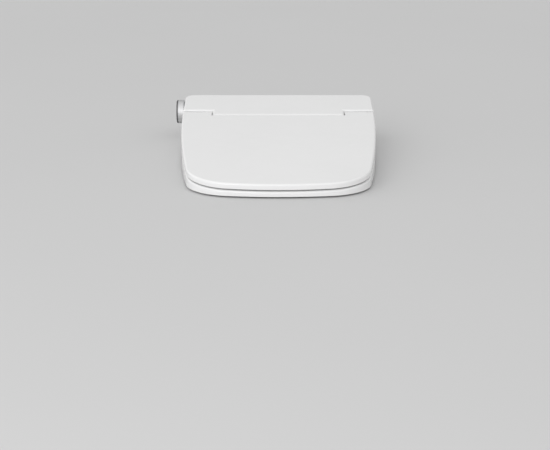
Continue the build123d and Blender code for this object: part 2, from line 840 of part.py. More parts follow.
# Pump and motor
pump_inner = -pump_x + pump_len
pump_port_y = (pump_y - pump_r - pump_foot, pump_y + pump_r + pump_foot)
with BuildPart() as water_pump:
    add(rod_x((-pump_x, pump_inner), pump_y, pump_z, pump_r))
    fillet(water_pump.edges().filter_by(GeomType.CIRCLE).sort_by(Axis.X)[0], pump_foot)
    foot_x = (pump_port_x - hose_r, pump_port_x + hose_r)
    add(block(foot_x, (pump_y - coil_r, pump_y + coil_r), (high_floor, pump_z)))
    add(rod_y(pump_port_x, pump_port_y, pump_port_z, hose_r))
    for end in pump_port_y:
        bore = sorted((end, pump_y + (end - pump_y) / 3))
        add(rod_y(pump_port_x, bore, pump_port_z, hose_bore), mode=Mode.SUBTRACT)
finish(water_pump, "water_pump")

pump_motor_end = pump_inner + pump_motor_len
with BuildPart() as pump_motor:
    add(rod_x((pump_inner, pump_motor_end), pump_y, pump_z, pump_motor_r))
    fillet(pump_motor.edges().filter_by(GeomType.CIRCLE).sort_by(Axis.X)[-1], hose_r / 2)
    add(rod_x((pump_inner, pump_motor_end + pump_foot), pump_y, pump_z, terminal_r))
finish(pump_motor, "pump_motor")

# Diverter behind the wand and the fixed tube in the wand's bore
diverter_y, diverter_z = wand_point((diverter_v[0] + diverter_v[1]) / 2, 0)
diverter_port = (-diverter_half - spigot_len, -diverter_half / 2)
feed_end = diverter_v[0] + diverter_len / 2
with BuildPart() as spray_diverter:
    add(wand_block((-diverter_half, diverter_half), diverter_v, (diverter_low, diverter_top)))
    fillet(spray_diverter.edges().filter_by(Axis.X), hood_round)
    add(wand_rod((wand_len, feed_end), feed_r), mode=Mode.SUBTRACT)
    add(rod_x(diverter_port, diverter_y, diverter_z, hose_r))
    add(rod_x((2 * diverter_port[0], 0), diverter_y, diverter_z, hose_bore), mode=Mode.SUBTRACT)
finish(spray_diverter, "spray_diverter")

with BuildPart() as feed_tube:
    add(wand_rod((wand_tip_len + feed_back, feed_end), feed_r))
    add(wand_rod((0, wand_len + diverter_v[1]), feed_r - feed_wall), mode=Mode.SUBTRACT)
finish(feed_tube, "feed_tube")

# Hoses
with BuildPart() as valve_hose:
    bend_x = outlet_x[1] + hose_bend + hose_r / 2
    route = (
        (outlet_x[1], outlet_y, port_z),
        (bend_x, outlet_y, port_z),
        (bend_x + hose_bend, cold_y, port_z),
        (heater_x[0] - spigot_len, cold_y, port_z),
    )
    add(hose(route, hose_bend))
finish(valve_hose, "valve_hose")

with BuildPart() as heater_hose:
    back = rear_y - wall - hose_r - pocket_room
    turn_x = heater_x[0] - 2 * spigot_len - hose_r
    route = (
        (heater_x[0] - spigot_len, warm_y, warm_z),
        (turn_x, warm_y, warm_z),
        (turn_x, back, warm_z),
        (pump_port_x, back, pump_port_z),
        (pump_port_x, pump_port_y[1], pump_port_z),
    )
    add(hose(route, hose_bend * 0.9))
finish(heater_hose, "heater_hose")

with BuildPart() as pump_hose:
    front = cold_y - 2 * hose_bend
    turn_x = diverter_port[0] - hose_bend
    route = (
        (pump_port_x, pump_port_y[0], pump_port_z),
        (pump_port_x, front, pump_port_z),
        (turn_x, front, diverter_z),
        (turn_x, diverter_y, diverter_z),
        (diverter_port[0], diverter_y, diverter_z),
    )
    add(hose(route, hose_bend * 0.8))
finish(pump_hose, "pump_hose")

# Cradle that guides the wand
cradle_back = rear_y - cradle_rear
step_y = recess_front - floor_t - slide_gap
back_v = (cradle_back - tip_y + diverter_low * wand_s) / wand_c
rest_v = diverter_v[0] - slide_gap
cheek_line = (
    (wand_point(collar_front, cheek_top)[0], floor_top),
    (step_y, floor_top),
    (step_y, high_floor),
    (cradle_back, high_floor),
    wand_point(back_v, diverter_low),
    wand_point(rest_v, diverter_low),
    wand_point(rest_v, cheek_top),
    wand_point(collar_front, cheek_top),
)
pinion_at = wand_point(pinion_v, pinion_n)
collar_spots = [collar_front + collar_step * i for i in range(2)]
rack_gap = rack_w / 2 + rack_room
rack_deep = pitch_n - gear_module - rack_room
travel_v = (0, diverter_v[0])
with BuildPart() as wand_cradle:
    for x in (-cheek_out, cheek_in):
        with BuildSketch(Plane.YZ.offset(x)):
            Polygon(*cheek_line, align=None)
        extrude(amount=cheek_t)
    for v in collar_spots:
        add(wand_block((-cheek_out, cheek_out), (v, v + collar_len), (collar_low, cheek_top)))
    add(wand_rod(travel_v, wand_r + run_gap), mode=Mode.SUBTRACT)
    add(wand_block((-rack_gap, rack_gap), travel_v, (rack_deep, 0)), mode=Mode.SUBTRACT)
    window_y = (recess_front + port_r, rear_y - 2.5 * cradle_rear)
    window_z = (high_floor + cheek_t, high_floor + port_r + collar_front)
    add(block((-far, far), window_y, window_z), mode=Mode.SUBTRACT)
    add(rod_x((-far, far), *pinion_at, axle_hole_r), mode=Mode.SUBTRACT)
finish(wand_cradle, "wand_cradle")

# Stepper motor beside the cradle
axle_end = cheek_out + motor_len / 2
with BuildPart() as wand_motor:
    add(rod_x((cheek_out, cheek_out + motor_len), *pinion_at, motor_r))
    fillet(wand_motor.edges().filter_by(GeomType.CIRCLE).sort_by(Axis.X)[-1], axle_r)
    ear_y = (pinion_at[0] - motor_ear, pinion_at[0] + motor_ear)
    ear_z = (pinion_at[1] - hose_r, pinion_at[1] + hose_r)
    add(block((cheek_out, cheek_out + motor_ear_t), ear_y, ear_z))
    add(rod_x((cheek_in, axle_end), *pinion_at, axle_r + run_gap), mode=Mode.SUBTRACT)
finish(wand_motor, "wand_motor")

# Control board, its components and the power supply
board_top = board_z + board_t
with BuildPart() as control_board:
    add(block(board_x, board_y, (board_z, board_top)))
    fillet(control_board.edges().filter_by(Axis.Z), board_post_r)
finish(control_board, "control_board")

chip = board_room / 2
chip_rows = (board_y[0] + 3 * chip, (board_y[0] + board_y[1]) / 2, board_y[1] - 3 * chip)
chip_step = (board_x[1] - board_x[0]) / 6
with BuildPart() as board_parts:
    for i, half in enumerate((1.4, 2.0, 1.0, 1.2, 1.6)):
        x = board_x[0] + chip_step * (i + 1)
        low_chip = (board_top, board_top + chip * 0.8)
        add(block((x - half * chip, x + half * chip), (chip_rows[0] - chip, chip_rows[0] + chip), low_chip))
        add(rod_z(x, chip_rows[2], (board_top, board_top + chip * half), chip))
    for i in (2, 4):
        x = board_x[0] + chip_step * i
        plug = (board_top, board_top + chip)
        add(block((x - 3 * chip, x + 3 * chip), (chip_rows[1] - chip, chip_rows[1] + chip), plug))
finish(board_parts, "board_parts")

supply_x = (recess_half + floor_t + supply_gap, half_width - supply_out)
supply_y = (block_front + supply_front_on, pocket_face - supply_back)
supply_top = heater_top - board_post_in
with BuildPart() as power_module:
    add(block(supply_x, supply_y, (floor_top, supply_top)))
    fillet(power_module.edges().filter_by(Axis.Z), heater_round)
    sink_x = (supply_x[0] + supply_out, supply_x[1] - supply_out)
    add(block(sink_x, (supply_y[0] + supply_out, supply_y[1] - supply_out), (floor_top, heater_top)))
finish(power_module, "power_module")

# Mains cable gland in the right pocket
gland_face = inlet_y + gland_nut_len
with BuildPart() as cable_gland:
    add(rod_y(pocket_x, (pocket_face - hose_r, inlet_y), port_z, port_r))
    with BuildSketch(Plane(origin=(pocket_x, inlet_y, port_z), x_dir=(1, 0, 0), z_dir=(0, 1, 0))):
        RegularPolygon(gland_nut_r, 6)
    extrude(amount=gland_nut_len)
    add(rod_y(pocket_x, (gland_face, gland_face + gland_cap_len), port_z, gland_cap_r))
    fillet(cable_gland.edges().filter_by(GeomType.CIRCLE).sort_by(Axis.Y)[-1], hood_round)
    add(rod_y(pocket_x, (0, 2 * rear_y), port_z, gland_r), mode=Mode.SUBTRACT)
finish(cable_gland, "cable_gland")

# Knob bush and encoder
bezel_r = knob_r - knob_skirt - hood_room
with BuildPart() as knob_bezel:
    add(rod_x((-half_width - bezel_t, -half_width), knob_y, knob_z, bezel_r))
    add(rod_x((-half_width, encoder_x[0]), knob_y, knob_z, bush_r))
    add(rod_x((-knob_out, 0), knob_y, knob_z, shaft_r + run_gap), mode=Mode.SUBTRACT)
finish(knob_bezel, "knob_bezel")

encoder_y = (pocket_face - encoder_w, pocket_face)
encoder_z = (knob_z - encoder_low, knob_z - encoder_low + encoder_h)
with BuildPart() as knob_encoder:
    add(block(encoder_x, encoder_y, encoder_z))
    fillet(knob_encoder.edges().filter_by(Axis.X), hood_round)
    add(rod_x((-knob_out, 0), knob_y, knob_z, shaft_r + run_gap), mode=Mode.SUBTRACT)
    plate_x = (encoder_x[1], encoder_x[1] + encoder_plate_t)
    plate_z = (encoder_z[0], encoder_z[1] + shaft_r)
    add(block(plate_x, (encoder_y[0] - shaft_r, encoder_y[1]), plate_z))
finish(knob_encoder, "knob_encoder")

# Knob: pressed shaft, turned ring and its end cap
shaft_tip = -knob_out + knob_cap_t + 2 * knob_travel
with BuildPart() as knob_shaft:
    add(rod_x((shaft_tip, encoder_x[1] - knob_travel - press_gap), knob_y, knob_z, shaft_r))
    clip = (-cup_floor + press_gap / 3, -cup_floor + press_gap / 3 + hood_room)
    add(rod_x(clip, knob_y, knob_z, shaft_flange_r))
finish(knob_shaft, "knob_shaft")

with BuildPart() as knob_ring:
    add(rod_x((-knob_out, -knob_in), knob_y, knob_z, knob_r))
    fillet(knob_ring.edges().filter_by(GeomType.CIRCLE).sort_by(Axis.X)[0], knob_round)
    add(rod_x((-cup_floor, 0), knob_y, knob_z, knob_r - knob_skirt), mode=Mode.SUBTRACT)
    add(rod_x((-2 * knob_out, -knob_out + knob_cap_t), knob_y, knob_z, cap_r), mode=Mode.SUBTRACT)
    add(rod_x((shaft_tip - press_gap, 0), knob_y, knob_z, shaft_r + run_gap), mode=Mode.SUBTRACT)
finish(knob_ring, "knob_ring")

with BuildPart() as knob_cap:
    add(rod_x((-knob_out, -knob_out + knob_cap_t), knob_y, knob_z, cap_r))
    with BuildSketch(Plane.YZ.offset(-knob_out)):
        with Locations((knob_y, knob_z)):
            Circle(cap_r - knob_cap_t)
            Circle(cap_r - knob_cap_t - knob_groove, mode=Mode.SUBTRACT)
    extrude(amount=knob_groove / 2, mode=Mode.SUBTRACT)
finish(knob_cap, "knob_cap")

# Seat: upper moulding
notch_wall = bridge_notch + seat_wall
notch_y = (hole_rear - notch_deep, 0)
notch = block((-notch_wall, notch_wall), notch_y, (-deck_rear_z, 2 * deck_rear_z))
skin_n = seat_top_n - seat_wall
base_top = seat_low + seat_base_t
cavity = shaft(plan_outline(seat_wall, seat_rear - seat_wall)) & slab(-far, skin_n)
cavity -= shaft(seat_hole(seat_wall))
cavity -= notch
for x, y in seat_screw_spots:
    cavity -= rod_z(x, y, (base_top, 2 * deck_rear_z), seat_boss_r)
tunnel_n = (hood_drop - far, hood_top + bridge_gap)
tunnel = wand_block((-bridge_notch, bridge_notch), (-far, wand_len), tunnel_n)
arm_span = (cheek_x[0] + arm_gap, cheek_x[1] - arm_gap)
arm_v = ((seat_rear - hinge_y) / cos(slope) - seat_wall, 0)
seat_body = column(plan_outline(0, seat_rear), (seat_low, 2 * deck_rear_z)) & slab(-far, seat_top_n)
with BuildPart() as seat_top:
    add(seat_body)
    fillet(flat_face(seat_top, 1).edges().filter_by(GeomType.ELLIPSE), edge_r)
    add(shaft(seat_hole(0)), mode=Mode.SUBTRACT)
    fillet(flat_face(seat_top, 1).inner_wires()[0].edges(), inner_edge_r)
    add(tunnel, mode=Mode.SUBTRACT)
    add(cavity, mode=Mode.SUBTRACT)
    for side in (-1, 1):
        ends = (cheek_x[0] + barrel_side_gap, cheek_x[1] - barrel_side_gap)
        span = sorted((side * ends[0], side * ends[1]))
        add(rod_x(span, hinge_y, hinge_z, seat_barrel_r))
        add(deck_block(sorted((side * arm_span[0], side * arm_span[1])), arm_v, (arm_low, seat_top_n)))
        fit = run_gap if side < 0 else 0.0
        add(rod_x(span, hinge_y, hinge_z, pin_r + fit), mode=Mode.SUBTRACT)
    for x, y in seat_screw_spots:
        deep = min(deck_height(y, skin_n), seat_low + seat_boss_deep)
        add(rod_z(x, y, (0, deep - screw_free), screw_r), mode=Mode.SUBTRACT)
finish(seat_top, "seat_top")

# Seat: lower plate
plate_inset = seat_wall + panel_gap
with BuildPart() as seat_base:
    add(column(plan_outline(plate_inset, seat_rear - plate_inset), (seat_low, base_top)))
    add(shaft(seat_hole(plate_inset)), mode=Mode.SUBTRACT)
    keep = notch_wall + panel_gap
    add(block((-keep, keep), notch_y, (0, 2 * base_top)), mode=Mode.SUBTRACT)
    for x, y in seat_pads:
        add(rod_z(x, y, (0, 2 * base_top), pad_stem_r), mode=Mode.SUBTRACT)
    for x, y in seat_screw_spots:
        add(rod_z(x, y, (0, 2 * base_top), screw_r + screw_free), mode=Mode.SUBTRACT)
        add(rod_z(x, y, (0, seat_low + screw_head_t), screw_head_r + screw_free), mode=Mode.SUBTRACT)
finish(seat_base, "seat_base")

# Heating film under the sitting surface
with BuildPart() as seat_heater:
    add(shaft(plan_outline(film_inset, seat_rear - film_inset)))
    add(slab(skin_n - film_t, skin_n), mode=Mode.INTERSECT)
    add(shaft(seat_hole(film_inset)), mode=Mode.SUBTRACT)
    keep = notch_wall + seat_wall
    add(block((-keep, keep), notch_y, (0, 2 * deck_rear_z)), mode=Mode.SUBTRACT)
    for x, y in seat_screw_spots:
        add(rod_z(x, y, (0, 2 * deck_rear_z), seat_boss_r + screw_head_t), mode=Mode.SUBTRACT)
finish(seat_heater, "seat_heater")

# Bumpers and screws under the seat
with BuildPart() as seat_bumpers:
    for x, y in seat_pads:
        add(rod_z(x, y, (0, seat_low), seat_pad_r))
        add(rod_z(x, y, (seat_low, base_top), pad_stem_r))
    fillet(seat_bumpers.faces().filter_by(Axis.Z).group_by(Axis.Z)[0].edges(), seat_pad_round)
finish(seat_bumpers, "seat_bumpers")

with BuildPart() as seat_screws:
    for x, y in seat_screw_spots:
        deep = min(deck_height(y, skin_n), seat_low + seat_boss_deep)
        add(cross_screw(x, y, seat_low, deep - 2 * screw_free))
finish(seat_screws, "seat_screws")

# Hinge pins: the left one turns with the lid, the right one with the seat
for side, name in ((-1, "hinge_pin_lid"), (1, "hinge_pin_seat")):
    with BuildPart() as hinge_pin:
        add(rod_x(sorted((side * pin_in, side * pin_out)), hinge_y, hinge_z, pin_r))
        chamfer(hinge_pin.edges().filter_by(GeomType.CIRCLE), pin_chamfer)
    finish(hinge_pin, name)

# Lid: outer moulding
lid_reach = (2 * front_y, -lid_notch)
lid_board = deck_block((-far, far), lid_reach, (lid_low, barrel_r))
lid_plate = shaft(plan_outline(0, hinge_y + barrel_r)) & lid_board
cave_end = hinge_y - (lid_notch + lid_rim) * cos(slope)
lid_cave = shaft(plan_outline(lid_rim, cave_end)) & slab(-far, barrel_r - lid_skin)
liner_n = (lid_low + liner_up, lid_low + liner_up + liner_t)
rib_slab = slab(liner_n[1], far)
rib_half = lid_rib_t / 2
for i in range(1, 6):
    y = cave_end + (front_y - cave_end) * i / 6
    lid_cave -= block((-far, far), (y - rib_half, y + rib_half), (-far, far)) & rib_slab
for x in (-lid_rib_x, 0.0, lid_rib_x):
    lid_cave -= block((x - rib_half, x + rib_half), (2 * front_y, far), (-far, far)) & rib_slab
with BuildPart() as lid_shell:
    add(lid_plate)
    fillet(flat_face(lid_shell, 1).edges().filter_by(GeomType.ELLIPSE), edge_r)
    fillet(flat_face(lid_shell, -1).edges().filter_by(GeomType.ELLIPSE), lid_under_r)
    for side in (-1, 1):
        add(lid_ear(side))
        fit = 0.0 if side < 0 else run_gap
        bore = sorted((side * block_half, side * pin_out))
        add(rod_x(bore, hinge_y, hinge_z, pin_r + fit), mode=Mode.SUBTRACT)
    add(lid_cave, mode=Mode.SUBTRACT)
finish(lid_shell, "lid_shell")

# Lid: inner panel and bumpers
with BuildPart() as lid_liner:
    add(shaft(plan_outline(lid_rim + panel_gap, cave_end - panel_gap)) & slab(*liner_n))
    for x, y in lid_pads:
        add(rod_z(x, y, (0, 2 * deck_rear_z), pad_stem_r), mode=Mode.SUBTRACT)
finish(lid_liner, "lid_liner")

pads = []
for x, y in lid_pads:
    pads.append(rod_z(x, y, (0, 2 * deck_rear_z), lid_pad_r) & slab(seat_top_n, liner_n[0]))
    pads.append(rod_z(x, y, (0, 2 * deck_rear_z), pad_stem_r) & slab(*liner_n))
with BuildPart() as lid_bumpers:
    add(pads)
finish(lid_bumpers, "lid_bumpers")

# Wash wand
with BuildPart() as wand_tube:
    add(wand_rod((wand_tip_len, wand_len), wand_r))
    add(wand_rod((wand_tip_len + spigot_len, 2 * wand_len), wand_bore), mode=Mode.SUBTRACT)
    add(wand_rod((0, wand_len), water_way_r), mode=Mode.SUBTRACT)
    add(wand_block((-rack_w / 2, rack_w / 2), rack_v, (hood_drop, -rack_seat)), mode=Mode.SUBTRACT)
finish(wand_tube, "wand_tube")

jets = ((jet_back, -jet_step), (jet_back, jet_step), (jet_back + jet_row, 0))
with BuildPart() as wand_tip:
    add(wand_rod((0, wand_tip_len), wand_r))
    fillet(wand_tip.edges().filter_by(GeomType.CIRCLE).sort_by(Axis.Y)[0], tip_round)
    add(wand_rod((jet_row, wand_len), water_way_r), mode=Mode.SUBTRACT)
    with BuildSketch(wand_top):
        with Locations(*jets):
            Circle(jet_r)
    extrude(amount=2 * wand_r, mode=Mode.SUBTRACT)
finish(wand_tip, "wand_tip")

with BuildPart() as wand_seal:
    add(wand_rod((wand_len - seal_len, wand_len), wand_bore))
    add(wand_rod((0, 2 * wand_len), feed_r + run_gap), mode=Mode.SUBTRACT)
finish(wand_seal, "wand_seal")

# Rack and pinion of the wand drive
pitch = pi * gear_module
half_tooth = pitch / 4 - backlash / 2
tip_half = half_tooth - gear_module * tan(pressure)
root_half = half_tooth + 1.25 * gear_module * tan(pressure)
tooth_root = -rack_root + backlash
first = int((rack_v[0] - pinion_v) / pitch) + 1
last = int((rack_v[1] - pinion_v) / pitch) - 1
with BuildPart() as wand_rack:
    with BuildSketch(wand_side.offset(-rack_w / 2)):
        with Locations(((rack_v[0] + rack_v[1]) / 2, -(rack_seat + rack_root) / 2)):
            Rectangle(rack_v[1] - rack_v[0], rack_root - rack_seat)
        for i in range(first, last):
            v = pinion_v + (i + 0.5) * pitch
            Polygon(
                (v - tip_half, pitch_n - gear_module),
                (v + tip_half, pitch_n - gear_module),
                (v + root_half, -rack_root),
                (v + root_half, tooth_root),
                (v - root_half, tooth_root),
                (v - root_half, -rack_root),
                align=None,
            )
    extrude(amount=rack_w)
finish(wand_rack, "wand_rack")

base_r = gear_pitch_r * cos(pressure)
gear_root = gear_pitch_r - 1.25 * gear_module
gear_tip = gear_pitch_r + gear_module
tooth_foot = gear_root - backlash
involute = tan(pressure) - pressure
left = []
for i in range(5):
    r = base_r + (gear_tip - base_r) * i / 4
    roll = acos(base_r / r)
    a = (pi / gear_teeth - backlash / gear_pitch_r) / 2 + involute - tan(roll) + roll
    left.append((r * cos(a), r * sin(a)))
right = [(x, -y) for x, y in left]
with BuildSketch() as tooth:
    with BuildLine():
        Spline(*left)
        Line(left[-1], right[-1])
        Spline(*right)
        Polyline(left[0], (tooth_foot, left[0][1]), (tooth_foot, right[0][1]), right[0])
    make_face()
gear_half = (rack_w + feed_wall) / 2
gear_plane = Plane(origin=(-gear_half, *pinion_at), x_dir=(0, -wand_s, wand_c), z_dir=(1, 0, 0))
with BuildPart() as wand_pinion:
    with BuildSketch(gear_plane):
        Circle(gear_root)
        for i in range(gear_teeth):
            add(tooth.sketch.rotate(Axis.Z, 360 * i / gear_teeth))
    extrude(amount=2 * gear_half)
    add(rod_x((-cheek_out - feed_wall, axle_end - feed_wall), *pinion_at, axle_r))
finish(wand_pinion, "wand_pinion")
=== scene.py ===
import json
import math

import bmesh
import bpy
from bpy.props import FloatProperty, FloatVectorProperty, IntProperty, PointerProperty
from mathutils import Matrix, Vector
from mathutils.bvhtree import BVHTree
from mathutils.kdtree import KDTree


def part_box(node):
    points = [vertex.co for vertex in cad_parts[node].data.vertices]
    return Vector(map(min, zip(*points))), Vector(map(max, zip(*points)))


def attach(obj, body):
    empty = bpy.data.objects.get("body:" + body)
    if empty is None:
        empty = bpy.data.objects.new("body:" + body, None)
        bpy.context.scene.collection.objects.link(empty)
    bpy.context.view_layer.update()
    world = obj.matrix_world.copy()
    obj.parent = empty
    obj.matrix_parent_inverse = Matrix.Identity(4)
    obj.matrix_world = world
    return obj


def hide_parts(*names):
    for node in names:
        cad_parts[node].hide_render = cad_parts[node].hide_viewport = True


bl_info = {
    "name": "Electric bidet seat",
    "version": (1, 0, 0),
    "blender": (4, 5, 0),
    "location": "3D View > Sidebar > Bidet seat",
    "description": "Finishes, fine details and stage of an electric bidet seat",
    "category": "Object",
}

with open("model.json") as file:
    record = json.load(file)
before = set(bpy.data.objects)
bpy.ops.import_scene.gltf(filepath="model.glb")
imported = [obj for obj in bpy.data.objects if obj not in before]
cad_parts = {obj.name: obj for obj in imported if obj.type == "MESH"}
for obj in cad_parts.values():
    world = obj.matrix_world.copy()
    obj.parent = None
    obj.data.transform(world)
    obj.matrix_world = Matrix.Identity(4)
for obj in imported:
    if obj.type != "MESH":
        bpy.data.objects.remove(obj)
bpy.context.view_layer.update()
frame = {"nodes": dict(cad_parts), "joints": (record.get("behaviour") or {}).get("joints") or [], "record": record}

MM = 0.001
# Faces that meet at a larger angle have a sharp edge between them.
SHARP = math.radians(38)
# Faces that meet at a smaller angle are one face.
FLAT = math.radians(0.03)
# Points that are nearer to each other are one point: in meshes, and at the seams of the node trees.
SAME_POINT = 0.002 * MM
SAME_SEAM = 0.001 * MM
# A neighbour at a smaller angle to an edge, given as its sine, only carries the edge on.
CARRY_ON = 0.4
# Reach of a neighbour across an edge, in widths of the rounding, that leaves room at both its ends.
EDGE_PITCH = 2.2
# Share of the width below which an edge is left sharp.
LEAST_SHARE = 0.15
# Share of the width by which a rounded corner may leave the old surface.
STAND_OFF = 0.75
# Pull of large faces on the shading, 50 being none.
FACE_PULL = 60
# Values between which most of a noise pattern lies.
NOISE_LOW, NOISE_HIGH = 0.3, 0.7
# Body and material slot of each node, and the joints by name.
BODY_OF = {node: body for body, nodes in frame["record"]["behaviour"]["bodies"].items() for node in nodes}
SLOT_OF = {part["node"]: part["material_slot"] for part in frame["record"]["subparts"]}
JOINT = {joint["name"]: joint for joint in frame["joints"]}


def colour(label, words, value):
    """Colour property with its default."""
    return FloatVectorProperty(
        name=label, description=words, subtype="COLOR", size=3, min=0.0, max=1.0, default=value
    )


def length(label, words, value):
    """Length property, with its default given in millimetres."""
    return FloatProperty(
        name=label, description=words, unit="LENGTH", precision=5, min=0.0, default=value * MM
    )


def whole(label, words, value):
    """Whole-number property with its default."""
    return IntProperty(name=label, description=words, min=1, default=value)


def share(label, words, value):
    """Property for a part of another size."""
    return FloatProperty(name=label, description=words, min=0.0, max=1.0, default=value)


def point_at(label, words, value):
    """Property for a point in the shared frame."""
    return FloatVectorProperty(name=label, description=words, subtype="TRANSLATION", default=value)


class BidetColours(bpy.types.PropertyGroup):
    """Colours of the finishes"""

    gloss: colour("Gloss white", "Lid, seat and rear cover", (0.82, 0.82, 0.82))
    satin: colour("Satin white", "Tray, lower seat plate and hood", (0.79, 0.79, 0.79))
    grey: colour("Grey plastic", "Cradle, rack, bush and encoder", (0.36, 0.37, 0.38))
    dark: colour(
        "Black plastic", "Gland, washers, dampers, pump and electrics", (0.035, 0.035, 0.038)
    )
    pale: colour(
        "Pale plastic", "Heater, valve, strainer, diverter and wand tip", (0.62, 0.63, 0.62)
    )
    rubber: colour("Grey rubber", "Bumpers and pads", (0.47, 0.47, 0.46))
    seal: colour("Black rubber", "Wand seal", (0.03, 0.03, 0.03))
    hose: colour("Silicone hose", "Water hoses", (0.70, 0.70, 0.66))
    knob: colour("Knob metal", "Satin metal of the knob", (0.72, 0.72, 0.725))
    # Painted shade: the knob's metal goes black where it is seen edge-on, standing in for the dark surroundings
    # that its outline reflects.
    painted_outline_shade: colour("Knob outline", "Tint of the knob's metal where it is seen edge-on", (0.0, 0.0, 0.0))
    rim: colour("Knob rim", "Dark outer rim and face of the knob", (0.20, 0.20, 0.205))
    steel: colour(
        "Stainless steel", "Wand and its feed tube, pins, knob shaft and motors", (0.60, 0.60, 0.595)
    )
    zinc: colour("Zinc plate", "Mounting plate and screws", (0.62, 0.63, 0.65))
    brass: colour("Brass", "Inlet, terminals and pinion", (0.69, 0.50, 0.23))
    copper: colour("Copper", "Heating tracks of the seat", (0.62, 0.33, 0.18))
    film: colour("Heater film", "Film between the heating tracks", (0.50, 0.26, 0.07))
    board: colour("Circuit board", "Solder mask of the control board", (0.03, 0.18, 0.08))


class BidetSizes(bpy.types.PropertyGroup):
    """Sizes of the fine details"""

    edge: length("Edge", "Rounding of the mouldings' sharp edges", 0.4)
    fine_edge: length("Fine edge", "Rounding of small and metal pieces", 0.2)
    soft_edge: length("Soft edge", "Rounding of the rubber pads", 0.9)
    edge_steps: whole("Edge steps", "Facets across a rounded edge", 3)
    round_sides: whole("Round sides", "Facets of the turned pieces", 40)
    screw_head: length("Screw head", "Radius of a screw head", 3.5)
    screw_head_t: length("Screw head height", "Thickness of a screw head", 1.5)
    screw_rim: length("Screw rim", "Chamfer of a screw head", 0.35)
    screw_shank: length("Screw shank", "Radius of a screw's shank", 1.7)
    cross_long: length("Recess length", "Half length of the cross recess", 2.0)
    cross_wide: length("Recess width", "Half width of the cross recess", 0.5)
    cross_deep: length("Recess depth", "Depth of the cross recess", 0.9)
    screw_seed: whole("Screw seed", "Seed for the angles of the recesses", 4)
    inlet_port: length("Inlet port", "Radius of the inlet's inner end", 8.0)
    inlet_way: length("Inlet way", "Radius of the water way", 4.0)
    inlet_bore: length("Inlet bore", "Radius of the bore for the strainer", 7.0)
    inlet_step: length("Strainer seat", "Strainer seat from the inner end", 8.0)
    inlet_flange_at: length("Flange place", "Flange from the inner end", 11.0)
    inlet_flange_t: length("Flange", "Thickness of the flange", 2.5)
    inlet_thread: length("Inlet thread", "Outer radius of the half-inch pipe thread", 10.48)
    inlet_pitch: length("Inlet pitch", "Pitch of the half-inch pipe thread", 1.814)
    inlet_deep: length("Thread depth", "Depth of the half-inch pipe thread", 1.16)
    inlet_lead: length("Thread lead", "Chamfer and plain part at the ends of the thread", 0.9)
    ridge_foot: share("Ridge foot", "Half width of the thread's ridge at its foot, in pitches", 0.46)
    ridge_crest: share("Ridge crest", "Half width of the ridge at its crest, in pitches", 0.08)
    ridge_sunk: share("Ridge root", "Part of the ridge's height that is sunk into the body", 0.2)
    ridge_fade: share("Ridge ends", "Turn over which the ridge grows at either end", 0.5)
    gland_cap: length("Gland cap", "Radius of the gland's cap", 7.5)
    gland_ribs: whole("Gland ribs", "Grip ribs round the gland's cap", 26)
    gland_rib: length("Gland rib", "Radius of a grip rib", 0.45)
    gland_rib_sides: whole("Gland rib sides", "Facets of a grip rib", 10)
    gland_rib_l: length("Gland rib length", "Length of a grip rib", 4.6)
    gland_lip: length("Gland lip", "Plain end of the gland's cap beyond its ribs", 2.5)
    knob_rim: length("Knob rim", "Width of the dark rim on the knob", 3.4)
    mark_end: share("Mark end", "Part of the knob face's radius at which the pointer mark ends", 0.8)
    mark_long: length("Mark length", "Length of the pointer mark on the knob's face", 6.0)
    mark_wide: length("Mark width", "Width of the pointer mark", 1.2)
    mark_proud: length("Mark height", "Height of the pointer mark above the face", 0.2)


class BidetStage(bpy.types.PropertyGroup):
    """Floor, light and camera"""

    floor: colour("Floor", "Pale floor", (0.62, 0.62, 0.62))
    floor_size: FloatProperty(
        name="Floor size", description="Half the side of the floor", unit="LENGTH", default=9.0
    )
    sky: FloatProperty(
        name="Sky", description="Strength of the light from straight above", min=0.0, default=0.885
    )
    sky_lean: FloatVectorProperty(
        name="Sky lean",
        description="Growth of the sky's strength along each axis",
        default=(-0.2, -0.25, 0.0),
    )
    key: FloatProperty(
        name="Key", description="Power of the lamp in front, upper left", subtype="POWER", default=21.0
    )
    key_size: FloatProperty(
        name="Key size", description="Side of the key lamp", unit="LENGTH", default=1.6
    )
    key_place: point_at("Key place", "Centre of the key lamp", (-1.2, -3.0, 0.95))
    key_aim: point_at("Key aim", "Point that the key lamp faces", (0.0, -0.2, 0.0))
    eye: point_at("Camera", "Place of the camera", (-0.0065, -2.9144, 0.668))
    eye_pitch: FloatProperty(
        name="Pitch",
        description="Camera tilt from straight down",
        subtype="ANGLE",
        default=math.radians(73.862),
    )
    lens: FloatProperty(name="Lens", description="Focal length of the camera in mm", default=99.06)
    sensor: FloatProperty(name="Sensor", description="Width of the camera's sensor in mm", default=36.0)


